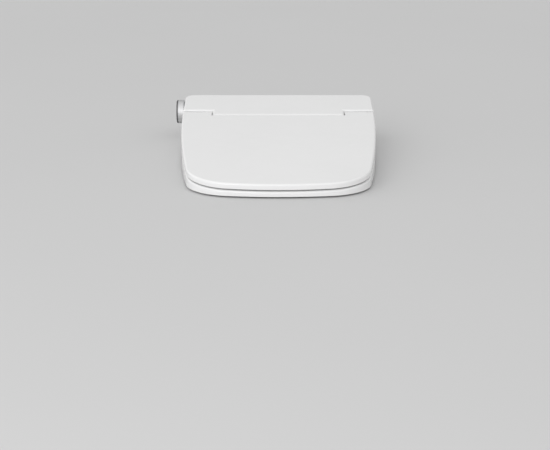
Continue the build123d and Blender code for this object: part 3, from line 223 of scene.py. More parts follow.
class Finish:
    """Material under construction: nodes are added and joined one by one."""

    def __init__(self, name):
        self.material = bpy.data.materials.new(name)
        self.material.use_nodes = True
        self.tree = self.material.node_tree
        self.shader = self.tree.nodes["Principled BSDF"]
        self.place = self.add("ShaderNodeTexCoord").outputs["Object"]

    def add(self, kind, **settings):
        """New node with its settings."""
        node = self.tree.nodes.new(kind)
        for key, value in settings.items():
            setattr(node, key, value)
        return node

    def join(self, source, socket):
        """Link two sockets."""
        self.tree.links.new(source, socket)

    def set(self, **values):
        """Constant values on the shader's own sockets."""
        for key, value in values.items():
            self.shader.inputs[key.replace("_", " ")].default_value = value

    def mapped(self, scale=(1, 1, 1), turn=(0, 0, 0), centre=(0, 0, 0)):
        """Object coordinates, centred on a point, turned and stretched."""
        node = self.add("ShaderNodeMapping", vector_type="TEXTURE")
        node.inputs["Location"].default_value = centre
        node.inputs["Rotation"].default_value = turn
        node.inputs["Scale"].default_value = [1 / s for s in scale]
        self.join(self.place, node.inputs["Vector"])
        return node.outputs["Vector"]

    def noise(self, scale, detail=2.0, vector=None):
        """Noise pattern, scale in waves per metre."""
        node = self.add("ShaderNodeTexNoise")
        node.inputs["Scale"].default_value = scale
        node.inputs["Detail"].default_value = detail
        self.join(vector or self.place, node.inputs["Vector"])
        return node.outputs["Fac"]

    def ramp(self, value, stops):
        """Colours along a pattern, as (position, colour) stops."""
        node = self.add("ShaderNodeValToRGB")
        while len(node.color_ramp.elements) < len(stops):
            node.color_ramp.elements.new(0.5)
        for element, (position, shade) in zip(node.color_ramp.elements, stops):
            element.position = position
            element.color = (*shade, 1)
        self.join(value, node.inputs["Fac"])
        return node.outputs["Color"]

    def span(self, value, low, high):
        """Pattern spread between two numbers."""
        node = self.add("ShaderNodeMapRange")
        node.inputs["From Min"].default_value = NOISE_LOW
        node.inputs["From Max"].default_value = NOISE_HIGH
        node.inputs["To Min"].default_value = low
        node.inputs["To Max"].default_value = high
        self.join(value, node.inputs["Value"])
        return node.outputs["Result"]

    def mix(self, factor, first, second):
        """Two colours mixed by a pattern."""
        node = self.add("ShaderNodeMix", data_type="RGBA")
        live = {socket.name: socket for socket in node.inputs if socket.enabled}
        for key, value in (("Factor", factor), ("A", first), ("B", second)):
            self.join(value, live[key])
        return next(socket for socket in node.outputs if socket.enabled)

    def bump(self, height, strength, depth):
        """Relief on the surface, depth in metres."""
        node = self.add("ShaderNodeBump")
        node.inputs["Strength"].default_value = strength
        node.inputs["Distance"].default_value = depth
        self.join(height, node.inputs["Height"])
        self.join(node.outputs["Normal"], self.shader.inputs["Normal"])

    def paint(self, value, socket="Base Color"):
        """Join a pattern to one of the shader's sockets."""
        self.join(value, self.shader.inputs[socket])


def shades(base, *factors):
    """The base colour made darker or lighter."""
    return [tuple(min(1.0, part * f) for part in base) for f in factors]


def moulding(name, base, rough, grain, relief, coat=0.0):
    """Moulded plastic: slight flow marks, uneven gloss and a fine skin."""
    made = Finish(name)
    dim, bright = shades(base, 0.985, 1.0)
    made.paint(made.ramp(made.noise(9.0, detail=3.0), [(0.35, dim), (0.65, bright)]))
    made.paint(made.span(made.noise(46.0, detail=4.0), *rough), "Roughness")
    made.bump(made.noise(grain), relief, depth=0.02 * MM)
    made.set(IOR=1.5, Coat_Weight=coat, Coat_Roughness=0.05)
    return made.material


def rubber(name, base):
    """Rubber with a dusty, slightly mottled skin."""
    made = Finish(name)
    dim, bright = shades(base, 0.86, 1.06)
    made.paint(made.ramp(made.noise(420.0, detail=5.0), [(0.35, dim), (0.7, bright)]))
    made.paint(made.span(made.noise(900.0, detail=3.0), low=0.62, high=0.82), "Roughness")
    made.bump(made.noise(2600.0, detail=3.0), strength=0.25, depth=0.03 * MM)
    made.set(IOR=1.45)
    return made.material


def brushed(name, base, rough, stretch, turn):
    """Metal with fine lines along one direction."""
    made = Finish(name)
    lines = made.noise(1.0, detail=3.0, vector=made.mapped(stretch, turn))
    dim, bright = shades(base, 0.9, 1.05)
    made.paint(made.ramp(lines, [(0.3, dim), (0.7, bright)]))
    made.paint(made.span(lines, *rough), "Roughness")
    made.bump(lines, strength=0.12, depth=0.01 * MM)
    made.set(Metallic=1.0)
    return made.material


def turned(name, base, rough, centre, axis, rim=None, painted_outline_shade=(1, 1, 1)):
    """Metal turned on a lathe: rings round an axis, and a rim of another colour at its low end. A dark edge-on
    tint paints shade along its outline; white leaves the metal plain.
    """
    made = Finish(name)
    split = made.add("ShaderNodeSeparateXYZ")
    made.join(made.mapped(centre=centre), split.inputs["Vector"])
    across = [split.outputs[k] for k in "XYZ" if k != axis]
    flat = made.add("ShaderNodeCombineXYZ")
    made.join(across[0], flat.inputs["X"])
    made.join(across[1], flat.inputs["Y"])
    radius = made.add("ShaderNodeVectorMath", operation="LENGTH")
    made.join(flat.outputs["Vector"], radius.inputs[0])
    rings = made.add("ShaderNodeCombineXYZ")
    made.join(radius.outputs["Value"], rings.inputs["X"])
    made.join(split.outputs[axis], rings.inputs["Y"])
    lines = made.noise(5200.0, vector=rings.outputs["Vector"])
    dim, bright = shades(base, 0.93, 1.03)
    metal = made.ramp(lines, [(0.3, dim), (0.7, bright)])
    if rim:
        end, shade = rim
        dim, bright = shades(shade, 0.9, 1.1)
        side = made.add("ShaderNodeMath", operation="LESS_THAN")
        side.inputs[1].default_value = end
        made.join(split.outputs[axis], side.inputs[0])
        metal = made.mix(side.outputs["Value"], metal, made.ramp(lines, [(0.3, dim), (0.7, bright)]))
    made.paint(metal)
    made.paint(made.span(lines, *rough), "Roughness")
    made.bump(lines, strength=0.05, depth=0.01 * MM)
    # A dark specular tint paints shade where the metal is seen edge-on; white leaves it plain.
    made.set(Metallic=1.0, Specular_Tint=(*painted_outline_shade, 1))
    return made.material


def zinc_plate(name, base):
    """Zinc plating with its crystal spangle."""
    made = Finish(name)
    spangle = made.add("ShaderNodeTexVoronoi")
    spangle.inputs["Scale"].default_value = 260.0
    made.join(made.place, spangle.inputs["Vector"])
    dim, bright = shades(base, 0.86, 1.08)
    made.paint(made.ramp(spangle.outputs["Color"], [(0.2, dim), (0.8, bright)]))
    made.paint(made.span(made.noise(150.0, detail=4.0), low=0.26, high=0.42), "Roughness")
    made.bump(made.noise(1800.0), strength=0.1, depth=0.01 * MM)
    made.set(Metallic=1.0)
    return made.material


def hose_silicone(name, base):
    """Milky silicone tube."""
    made = Finish(name)
    dim, bright = shades(base, 0.92, 1.05)
    made.paint(made.ramp(made.noise(70.0, detail=3.0), [(0.35, dim), (0.7, bright)]))
    made.paint(made.span(made.noise(300.0, detail=3.0), low=0.28, high=0.42), "Roughness")
    made.bump(made.noise(1500.0), strength=0.08, depth=0.02 * MM)
    made.set(IOR=1.42, Subsurface_Weight=0.25, Subsurface_Scale=2 * MM)
    return made.material


def heating_film(name, base, film):
    """Amber film with copper tracks."""
    made = Finish(name)
    tracks = made.add("ShaderNodeTexWave", wave_type="BANDS", bands_direction="Y")
    tracks.inputs["Scale"].default_value = 42.0
    tracks.inputs["Distortion"].default_value = 1.5
    made.join(made.place, tracks.inputs["Vector"])
    made.paint(made.ramp(tracks.outputs["Fac"], [(0.48, film), (0.56, base)]))
    made.paint(made.span(made.noise(200.0, detail=3.0), low=0.3, high=0.45), "Roughness")
    made.bump(tracks.outputs["Fac"], strength=0.3, depth=0.05 * MM)
    made.set(Metallic=0.4)
    return made.material


def circuit_board(name, base):
    """Solder mask with lighter tracks."""
    made = Finish(name)
    cells = made.add("ShaderNodeTexBrick")
    cells.inputs["Scale"].default_value = 130.0
    cells.inputs["Mortar Size"].default_value = 0.06
    cells.inputs["Color1"].default_value = (*shades(base, 1.0)[0], 1)
    cells.inputs["Color2"].default_value = (*shades(base, 0.8)[0], 1)
    cells.inputs["Mortar"].default_value = (*shades(base, 2.4)[0], 1)
    made.join(made.place, cells.inputs["Vector"])
    made.paint(cells.outputs["Color"])
    made.paint(made.span(made.noise(240.0, detail=3.0), low=0.25, high=0.4), "Roughness")
    made.bump(cells.outputs["Fac"], strength=0.2, depth=0.03 * MM)
    return made.material


def knob_axis():
    """A point on the knob's axis."""
    return JOINT["knob_turn"]["pos_m"]


def inlet_axis():
    """A point on the water inlet's axis."""
    low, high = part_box("inlet_fitting")
    return (low + high) / 2


def wand_tilt():
    """Angle by which the wand slopes down towards the front."""
    along = JOINT["wand_slide"]["axis"]
    return math.atan2(-along[2], -along[1])


def knob_edge(sizes):
    """Where the knob's dark rim ends, from the point on its axis."""
    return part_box("knob_ring")[0].x + sizes.knob_rim - knob_axis()[0]


def white_gloss(name, scene):
    """Lid, seat and rear cover."""
    base = scene.bidet_colours.gloss
    return moulding(name, base, rough=(0.15, 0.24), grain=1300.0, relief=0.06, coat=0.35)


def white_satin(name, scene):
    """Tray, lower seat plate and hood."""
    base = scene.bidet_colours.satin
    return moulding(name, base, rough=(0.36, 0.48), grain=2400.0, relief=0.25)


def grey_plastic(name, scene):
    """Cradle, rack, bush and encoder."""
    base = scene.bidet_colours.grey
    return moulding(name, base, rough=(0.38, 0.5), grain=2200.0, relief=0.25)


def dark_plastic(name, scene):
    """Gland, washers, dampers, pump and electrics."""
    base = scene.bidet_colours.dark
    return moulding(name, base, rough=(0.36, 0.5), grain=2200.0, relief=0.3)


def pale_plastic(name, scene):
    """Heater, valve, strainer, diverter and wand tip."""
    base = scene.bidet_colours.pale
    return moulding(name, base, rough=(0.3, 0.42), grain=2200.0, relief=0.2)


def rubber_grey(name, scene):
    """Bumpers and pads."""
    return rubber(name, scene.bidet_colours.rubber)


def rubber_black(name, scene):
    """Wand seal."""
    return rubber(name, scene.bidet_colours.seal)


def hose_clear(name, scene):
    """Water hoses."""
    return hose_silicone(name, scene.bidet_colours.hose)


def knob_metal(name, scene):
    """Satin knob with a dark rim and face, and painted shade along its outline where the metal is seen edge-on."""
    colours = scene.bidet_colours
    rim = (knob_edge(scene.bidet_sizes), colours.rim)
    return turned(name, colours.knob, (0.5, 0.6), knob_axis(), "X", rim, colours.painted_outline_shade)


def steel(name, scene):
    """Wand and its feed tube, pins, knob shaft and motors."""
    lines = (2500, 60, 2500)
    return brushed(name, scene.bidet_colours.steel, (0.2, 0.34), lines, (wand_tilt(), 0, 0))


def zinc_steel(name, scene):
    """Mounting plate and screws."""
    return zinc_plate(name, scene.bidet_colours.zinc)


def brass(name, scene):
    """Inlet, terminals and pinion."""
    return turned(name, scene.bidet_colours.brass, (0.2, 0.34), inlet_axis(), "Y")


def copper_film(name, scene):
    """Heating film of the seat."""
    return heating_film(name, scene.bidet_colours.copper, scene.bidet_colours.film)


def board_green(name, scene):
    """Control board."""
    return circuit_board(name, scene.bidet_colours.board)


FINISHES = {
    maker.__name__: maker
    for maker in (
        white_gloss,
        white_satin,
        grey_plastic,
        dark_plastic,
        pale_plastic,
        rubber_grey,
        rubber_black,
        hose_clear,
        knob_metal,
        steel,
        zinc_steel,
        brass,
        copper_film,
        board_green,
    )
}


def finish_of(node, context):
    """Material of a node's slot, made when it is first asked for."""
    slot = SLOT_OF[node]
    name = slot + "_finish"
    return bpy.data.materials.get(name) or FINISHES[slot](name, context.scene)


class Nodes:
    """Geometry Nodes tree under construction, with named inputs."""

    def __init__(self, name):
        self.tree = bpy.data.node_groups.new(name, "GeometryNodeTree")
        self.tree.interface.new_socket("Points", in_out="INPUT", socket_type="NodeSocketGeometry")
        self.tree.interface.new_socket("Geometry", in_out="OUTPUT", socket_type="NodeSocketGeometry")
        self.source = self.tree.nodes.new("NodeGroupInput")
        self.values = {}

    def size(self, label, value):
        """Named input and the value that it will get."""
        kind = "NodeSocketInt" if isinstance(value, int) else "NodeSocketFloat"
        socket = self.tree.interface.new_socket(label, in_out="INPUT", socket_type=kind)
        self.values[socket.identifier] = value
        return self.source.outputs[label]

    def add(self, kind, links=None, **settings):
        """New node with its settings and inputs; returns its first live output."""
        node = self.tree.nodes.new(kind)
        for key, value in settings.items():
            setattr(node, key, value)
        for key, value in (links or {}).items():
            live = [s for i, s in enumerate(node.inputs) if s.enabled and key in (i, s.name)]
            for item in value if isinstance(value, list) else [value]:
                if isinstance(item, bpy.types.NodeSocket):
                    self.tree.links.new(item, live[0])
                else:
                    live[0].default_value = item
        return next((s for s in node.outputs if s.enabled), None)

    def math(self, operation, *numbers):
        """Sum, product or other function of one or two numbers."""
        return self.add("ShaderNodeMath", dict(enumerate(numbers)), operation=operation)

    def point(self, x, y, z):
        """Vector from three numbers."""
        return self.add("ShaderNodeCombineXYZ", {"X": x, "Y": y, "Z": z})

    def cells(self, outline, steps):
        """Grid with a row per outline point: its mesh, outline vector and step number."""
        around = self.math("ADD", steps, 1.0)
        mesh = self.add("GeometryNodeMeshGrid", {"Vertices X": len(outline), "Vertices Y": around})
        index = self.add("GeometryNodeInputIndex")
        row = self.math("FLOOR", self.math("DIVIDE", self.math("ADD", index, 0.5), around))
        pick = self.tree.nodes.new("GeometryNodeIndexSwitch")
        pick.data_type = "VECTOR"
        while len(pick.index_switch_items) < len(outline):
            pick.index_switch_items.new()
        self.tree.links.new(row, pick.inputs[0])
        for spot, (radius, height) in enumerate(outline):
            self.tree.links.new(self.point(radius, 0.0, height), pick.inputs[spot + 1])
        return mesh, pick.outputs[0], self.math("FLOORED_MODULO", index, around)

    def wrap(self, mesh, place, turn):
        """Turn each point of a grid about Z, then close the seam and the poles."""
        about = {"Vector": place, "Angle": turn}
        spun = self.add("ShaderNodeVectorRotate", about, rotation_type="Z_AXIS")
        moved = self.add("GeometryNodeSetPosition", {"Geometry": mesh, "Position": spun})
        return self.joined(moved)

    def joined(self, mesh):
        """Join the points of a mesh that lie on each other."""
        return self.add("GeometryNodeMergeByDistance", {"Geometry": mesh, "Distance": SAME_SEAM})

    def lathe(self, outline, sides):
        """Turned shape about Z from (radius, height) points."""
        mesh, place, step = self.cells(outline, sides)
        turn = self.math("DIVIDE", self.math("MULTIPLY", step, 2 * math.pi), sides)
        return self.wrap(mesh, place, turn)

    def done(self, shape, material):
        """Realize the instances, set the material and end the tree."""
        real = self.add("GeometryNodeRealizeInstances", {"Geometry": shape})
        last = self.add("GeometryNodeSetMaterial", {"Geometry": real, "Material": material})
        self.tree.links.new(last, self.tree.nodes.new("NodeGroupOutput").inputs[0])
        return self


def screw_tree(sizes, span, material):
    """Screws with a cross recess, driven upwards from the given points."""
    made = Nodes("screws")
    sides = made.size("Sides", sizes.round_sides)
    head = made.size("Head radius", sizes.screw_head)
    thick = made.size("Head height", sizes.screw_head_t)
    rim = made.size("Head chamfer", sizes.screw_rim)
    shank = made.size("Shank radius", sizes.screw_shank)
    tall = made.size("Length", span)
    long = made.size("Recess length", sizes.cross_long)
    wide = made.size("Recess width", sizes.cross_wide)
    deep = made.size("Recess depth", sizes.cross_deep)
    seed = made.size("Seed", sizes.screw_seed)
    face = made.math("SUBTRACT", head, rim)
    tip = made.math("SUBTRACT", tall, shank)
    outline = [(0.0, 0.0), (face, 0.0), (head, rim), (head, thick)]
    outline += [(shank, thick), (shank, tip), (0.0, tall)]
    long, wide, deep = (made.math("MULTIPLY", part, 2.0) for part in (long, wide, deep))
    bars = []
    for pair in ((long, wide), (wide, long)):
        bars.append(made.add("GeometryNodeMeshCube", {"Size": made.point(*pair, deep)}))
    screw = made.add(
        "GeometryNodeMeshBoolean",
        {"Mesh 1": made.lathe(outline, sides), "Mesh 2": bars},
        operation="DIFFERENCE",
        solver="EXACT",
    )
    spin = made.add("FunctionNodeRandomValue", {"Max": math.pi / 2, "Seed": seed}, data_type="FLOAT")
    shape = made.add(
        "GeometryNodeInstanceOnPoints",
        {
            "Points": made.source.outputs["Points"],
            "Instance": made.joined(screw),
            "Rotation": made.point(0.0, 0.0, spin),
        },
    )
    return made.done(shape, material)


def inlet_tree(sizes, span, flange, material):
    """Brass inlet: a turned body and the spiral ridge of its pipe thread."""
    made = Nodes("inlet")
    sides = made.size("Sides", sizes.round_sides)
    port = made.size("Port radius", sizes.inlet_port)
    way = made.size("Way radius", sizes.inlet_way)
    bore = made.size("Bore radius", sizes.inlet_bore)
    seat = made.size("Strainer seat", sizes.inlet_step)
    near = made.size("Flange place", sizes.inlet_flange_at)
    thick = made.size("Flange thickness", sizes.inlet_flange_t)
    rim = made.size("Flange radius", flange)
    outer = made.size("Thread radius", sizes.inlet_thread)
    pitch = made.size("Thread pitch", sizes.inlet_pitch)
    deep = made.size("Thread depth", sizes.inlet_deep)
    lead = made.size("Thread lead", sizes.inlet_lead)
    foot = made.size("Ridge foot", sizes.ridge_foot)
    crest = made.size("Ridge crest", sizes.ridge_crest)
    sunk = made.size("Ridge root", sizes.ridge_sunk)
    grow = made.size("Ridge ends", sizes.ridge_fade)
    tall = made.size("Length", span)
    far = made.math("ADD", near, thick)
    core = made.math("SUBTRACT", outer, deep)
    nose = made.math("SUBTRACT", tall, lead)
    face = made.math("SUBTRACT", core, lead)
    body = [(way, 0.0), (port, 0.0), (port, near), (rim, near), (rim, far), (core, far), (core, nose)]
    body += [(face, tall), (bore, tall), (bore, seat), (way, seat), (way, 0.0)]
    rise = made.math("SUBTRACT", made.math("SUBTRACT", nose, lead), far)
    turns = made.math("DIVIDE", rise, pitch)
    steps = made.math("FLOOR", made.math("MULTIPLY", turns, sides))
    foot = made.math("MULTIPLY", pitch, foot)
    crest = made.math("MULTIPLY", pitch, crest)
    root = made.math("MULTIPLY", made.math("MULTIPLY", deep, sunk), -1.0)
    ridge = [(root, made.math("MULTIPLY", foot, -1.0)), (deep, made.math("MULTIPLY", crest, -1.0))]
    ridge += [(deep, crest), (root, foot), ridge[0]]
    mesh, off, step = made.cells(ridge, steps)
    along = made.math("DIVIDE", step, steps)
    ends = made.math("MINIMUM", along, made.math("SUBTRACT", 1.0, along))
    fade = made.math("MINIMUM", made.math("DIVIDE", made.math("MULTIPLY", ends, turns), grow), 1.0)
    off = made.add("ShaderNodeVectorMath", {0: off, "Scale": fade}, operation="SCALE")
    start = made.math("ADD", far, made.math("MULTIPLY", lead, 0.5))
    base = made.math("ADD", made.math("MULTIPLY", along, rise), start)
    place = made.add("ShaderNodeVectorMath", {0: made.point(core, 0.0, base), 1: off}, operation="ADD")
    turn = made.math("MULTIPLY", along, made.math("MULTIPLY", turns, 2 * math.pi))
    thread = made.wrap(mesh, place, turn)
    shape = made.add("GeometryNodeJoinGeometry", {"Geometry": [made.lathe(body, sides), thread]})
    return made.done(shape, material)


def rib_tree(sizes, material):
    """Grip ribs round the gland's cap."""
    made = Nodes("gland_ribs")
    ribs = made.size("Ribs", sizes.gland_ribs)
    radius = made.size("Cap radius", sizes.gland_cap)
    sides = made.size("Rib sides", sizes.gland_rib_sides)
    thick = made.size("Rib radius", sizes.gland_rib)
    long = made.size("Rib length", sizes.gland_rib_l)
    ring = made.add("GeometryNodeMeshCircle", {"Vertices": ribs, "Radius": radius})
    rib = made.add("GeometryNodeMeshCylinder", {"Vertices": sides, "Radius": thick, "Depth": long})
    shape = made.add("GeometryNodeInstanceOnPoints", {"Points": ring, "Instance": rib})
    return made.done(shape, material)


def new_object(name, mesh):
    """Object at the origin, in the scene."""
    obj = bpy.data.objects.new(name, mesh)
    bpy.context.scene.collection.objects.link(obj)
    return obj


def stand_for(piece, *nodes):
    """The piece moves with these nodes' body and is shown in their place."""
    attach(piece, BODY_OF[nodes[0]])
    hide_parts(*nodes)
    return piece


def paint(context, *nodes):
    """Give nodes whose shape stays their finish."""
    for node in nodes:
        materials = frame["nodes"][node].data.materials
        materials.clear()
        materials.append(finish_of(node, context))


def joined_mesh(node):
    """Copy of a node's mesh with its triangles joined into whole faces."""
    mesh = frame["nodes"][node].data.copy()
    mesh.attributes.remove(mesh.attributes["custom_normal"])
    work = bmesh.new()
    work.from_mesh(mesh)
    bmesh.ops.remove_doubles(work, verts=work.verts[:], dist=SAME_POINT)
    bmesh.ops.dissolve_limit(work, angle_limit=FLAT, verts=work.verts[:], edges=work.edges[:])
    for edge in work.edges:
        edge.smooth = True
    for face in work.faces:
        face.smooth = True
    work.to_mesh(mesh)
    work.free()
    return mesh


def plain_mesh(context, obj):
    """Mesh that an object's modifiers make, without its doubles; the modifiers are removed."""
    context.view_layer.update()
    plain = bpy.data.meshes.new_from_object(obj.evaluated_get(context.evaluated_depsgraph_get()))
    obj.modifiers.clear()
    if not plain.polygons:
        raise RuntimeError(obj.name + " came out empty")
    work = bmesh.new()
    work.from_mesh(plain)
    bmesh.ops.remove_doubles(work, verts=work.verts[:], dist=SAME_POINT)
    bmesh.ops.dissolve_degenerate(work, edges=work.edges[:], dist=SAME_POINT)
    work.to_mesh(plain)
    work.free()
    return plain


def facing_back(low, high, y):
    """Move a shape that stands along Z into the middle of a box, from y towards the rear."""
    middle = (low + high) / 2
    return Matrix.Translation((middle.x, y, middle.z)) @ Matrix.Rotation(-math.pi / 2, 4, "X")


def grown(context, name, points, made, move=Matrix()):
    """Plain mesh object from points and a Geometry Nodes tree, moved to its place."""
    mesh = bpy.data.meshes.new(name)
    mesh.from_pydata(points, [], [])
    obj = new_object(name, mesh)
    grow = obj.modifiers.new("grow", "NODES")
    grow.node_group = made.tree
    for key, value in made.values.items():
        grow[key] = value
    plain = plain_mesh(context, obj)
    plain.transform(move)
    work = bmesh.new()
    work.from_mesh(plain)
    bmesh.ops.recalc_face_normals(work, faces=work.faces[:])
    work.to_mesh(plain)
    work.free()
    plain.shade_smooth()
    plain.set_sharp_from_angle(angle=SHARP)
    obj.data = plain
    return obj


def lumps(node):
    """Boxes of a node's separate solids, from left to right."""
    work = bmesh.new()
    work.from_mesh(joined_mesh(node))
    left = set(work.verts)
    boxes = []
    while left:
        front = [left.pop()]
        found = []
        while front:
            vert = front.pop()
            found.append(vert.co.copy())
            near = {edge.other_vert(vert) for edge in vert.link_edges} & left
            left -= near
            front.extend(near)
        boxes.append([Vector(pick(v[k] for v in found) for k in range(3)) for pick in (min, max)])
    work.free()
    return sorted(boxes, key=lambda box: tuple(round(part, 5) for part in box[0]))


def drive_screws(context, node):
    """Replace a node of screws by finely shaped ones."""
    boxes = lumps(node)
    points = [((low.x + high.x) / 2, (low.y + high.y) / 2, low.z) for low, high in boxes]
    span = min(high.z - low.z for low, high in boxes)
    made = screw_tree(context.scene.bidet_sizes, span, finish_of(node, context))
    stand_for(grown(context, node + "_driven", points, made), node)


def edge_room(edge, width):
    """Share of the rounding's width for which an edge's neighbours leave room."""
    room = 1.0
    for vert in edge.verts:
        along = (edge.other_vert(vert).co - vert.co).normalized()
        for other in vert.link_edges:
            way = other.other_vert(vert).co - vert.co
            across = (way - along * way.dot(along)).length
            if across > CARRY_ON * way.length:
                room = min(room, across / (EDGE_PITCH * width))
    return room if room > LEAST_SHARE else 0.0


def weigh_edges(mesh, width, kept):
    """Give each sharp outer edge its share of the rounding's width; kept corners get none."""
    work = bmesh.new()
    work.from_mesh(mesh)
    layers = work.edges.layers.float
    weight = layers.get("bevel_weight_edge") or layers.new("bevel_weight_edge")
    for edge in work.edges:
        sharp = edge.is_convex and edge.calc_face_angle(0.0) > SHARP
        free = not any(vert.index in kept for vert in edge.verts)
        edge[weight] = edge_room(edge, width) if sharp and free else 0.0
    work.to_mesh(mesh)
    work.free()


def frayed_corners(mesh, surface, corners, width):
    """Corners of the sharp piece at which its rounding has left the old surface."""
    work = bmesh.new()
    work.from_mesh(mesh)
    far = {vert for vert in work.verts if surface.find_nearest(vert.co)[3] > STAND_OFF * width}
    near = {edge.other_vert(vert) for vert in far for edge in vert.link_edges} - far
    found = {corners.find(vert.co)[1] for vert in near}
    work.free()
    return found


def bevelled(context, obj, sharp, width):
    """Plain mesh of the sharp piece with its weighed edges rounded."""
    obj.data = sharp
    bevel = obj.modifiers.new("edges", "BEVEL")
    bevel.limit_method = "WEIGHT"
    bevel.width = width
    bevel.segments = context.scene.bidet_sizes.edge_steps
    bevel.use_clamp_overlap = False
    return plain_mesh(context, obj)


def round_edges(context, obj, width):
    """Round the sharp edges and keep the flat faces flat; corners that would fray stay sharp."""
    sharp = obj.data
    places = [vert.co for vert in sharp.vertices]
    surface = BVHTree.FromPolygons(places, [face.vertices for face in sharp.polygons])
    corners = KDTree(len(places))
    for spot, corner in enumerate(places):
        corners.insert(corner, spot)
    corners.balance()
    kept = set()
    while True:
        weigh_edges(sharp, width, kept)
        rounded = bevelled(context, obj, sharp, width)
        frayed = frayed_corners(rounded, surface, corners, width)
        if frayed <= kept:
            break
        kept |= frayed
    rounded.set_sharp_from_angle(angle=SHARP)
    obj.data = rounded
    shading = obj.modifiers.new("shading", "WEIGHTED_NORMAL")
    shading.weight = FACE_PULL
    shading.keep_sharp = True


def dress(context, width, *nodes):
    """Replace nodes by copies with rounded edges and their finish."""
    for node in nodes:
        mesh = joined_mesh(node)
        mesh.materials.clear()
        mesh.materials.append(finish_of(node, context))
        piece = new_object(node + "_moulded", mesh)
        round_edges(context, piece, width)
        stand_for(piece, node)


class BIDET_OT_lid(bpy.types.Operator):
    """Finish the lid with its inner panel, bumpers and pin"""

    bl_idname = "bidet.lid"
    bl_label = "Lid"

    def execute(self, context):
        sizes = context.scene.bidet_sizes
        dress(context, sizes.edge, "lid_shell", "lid_liner")
        dress(context, sizes.soft_edge, "lid_bumpers")
        paint(context, "hinge_pin_lid")
        return {"FINISHED"}


class BIDET_OT_seat(bpy.types.Operator):
    """Finish the seat with its lower plate, heating film, bumpers and pin"""

    bl_idname = "bidet.seat"
    bl_label = "Seat"

    def execute(self, context):
        sizes = context.scene.bidet_sizes
        dress(context, sizes.edge, "seat_top", "seat_base")
        dress(context, sizes.fine_edge, "seat_bumpers")
        drive_screws(context, "seat_screws")
        paint(context, "seat_heater", "hinge_pin_seat")
        return {"FINISHED"}


class BIDET_OT_housing(bpy.types.Operator):
    """Finish the rear unit's tray, cover, hood, screws and pads"""

    bl_idname = "bidet.housing"
    bl_label = "Housing"

    def execute(self, context):
        sizes = context.scene.bidet_sizes
        dress(context, sizes.edge, "rear_cover", "base_tray")
        dress(context, sizes.fine_edge, "wand_hood")
        dress(context, sizes.soft_edge, "base_pads")
        drive_screws(context, "cover_screws")
        paint(context, "soft_close_dampers")
        return {"FINISHED"}


class BIDET_OT_mounting(bpy.types.Operator):
    """Finish the mounting plate and its clamp washers"""

    bl_idname = "bidet.mounting"
    bl_label = "Mounting"

    def execute(self, context):
        sizes = context.scene.bidet_sizes
        dress(context, sizes.fine_edge, "mounting_plate")
        dress(context, sizes.edge, "fixing_adjusters")
        return {"FINISHED"}


class BIDET_OT_knob(bpy.types.Operator):
    """Finish the side knob, its shaft, bush and encoder"""

    bl_idname = "bidet.knob"
    bl_label = "Knob"

    def execute(self, context):
        sizes = context.scene.bidet_sizes
        dress(context, sizes.fine_edge, "knob_ring", "knob_cap", "knob_bezel")
        paint(context, "knob_shaft", "knob_encoder")
        self.mark(context, sizes)
        return {"FINISHED"}

    def mark(self, context, sizes):
        """Pointer mark, half sunk into the knob's face."""
        low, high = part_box("knob_cap")
        centre = (low + high) / 2
        top = centre.z + sizes.mark_end * (high.z - low.z) / 2
        spot = Matrix.Translation((low.x, centre.y, top - sizes.mark_long / 2))
        size = Matrix.Diagonal((2 * sizes.mark_proud, sizes.mark_wide, sizes.mark_long, 1))
        work = bmesh.new()
        bmesh.ops.create_cube(work, size=1.0, matrix=spot @ size)
        mesh = bpy.data.meshes.new("knob_mark")
        work.to_mesh(mesh)
        work.free()
        mesh.materials.append(finish_of("rear_cover", context))
        piece = new_object("knob_mark", mesh)
        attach(piece, BODY_OF["knob_cap"])


class BIDET_OT_wand(bpy.types.Operator):
    """Finish the wash wand and its drive"""

    bl_idname = "bidet.wand"
    bl_label = "Wand"

    def execute(self, context):
        dress(context, context.scene.bidet_sizes.fine_edge, "wand_tube", "wand_tip")
        paint(context, "wand_rack", "wand_seal", "wand_pinion")
        paint(context, "wand_cradle", "wand_motor", "feed_tube", "spray_diverter")
        return {"FINISHED"}


class BIDET_OT_water(bpy.types.Operator):
    """Finish the water path from the inlet to the diverter"""

    bl_idname = "bidet.water"
    bl_label = "Water path"

    def execute(self, context):
        sizes = context.scene.bidet_sizes
        low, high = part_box("inlet_fitting")
        flange = (high.x - low.x) / 2
        made = inlet_tree(sizes, high.y - low.y, flange, finish_of("inlet_fitting", context))
        inlet = grown(context, "inlet_fitting_turned", [], made, facing_back(low, high, low.y))
        stand_for(inlet, "inlet_fitting")
        paint(context, "inlet_screen", "inlet_valve", "valve_coil")
        paint(context, "water_heater", "heater_terminals", "water_pump", "pump_motor")
        paint(context, "valve_hose", "heater_hose", "pump_hose")
        return {"FINISHED"}


class BIDET_OT_electrics(bpy.types.Operator):
    """Finish the control board, its components, the supply and the gland"""

    bl_idname = "bidet.electrics"
    bl_label = "Electrics"

    def execute(self, context):
        sizes = context.scene.bidet_sizes
        dress(context, sizes.fine_edge, "cable_gland")
        low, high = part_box("cable_gland")
        made = rib_tree(sizes, finish_of("cable_gland", context))
        reach = high.y - sizes.gland_lip - sizes.gland_rib_l / 2
        ribs = grown(context, "gland_ribs", [], made, facing_back(low, high, reach))
        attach(ribs, BODY_OF["cable_gland"])
        paint(context, "control_board", "board_parts", "power_module")
        return {"FINISHED"}


def floor_finish(base):
    """Pale matt floor."""
    made = Finish("floor_finish")
    dim, bright = shades(base, 0.985, 1.0)
    made.paint(made.ramp(made.noise(1.2), [(0.3, dim), (0.7, bright)]))
    made.set(Roughness=0.7, Specular_IOR_Level=0.2)
    return made.material


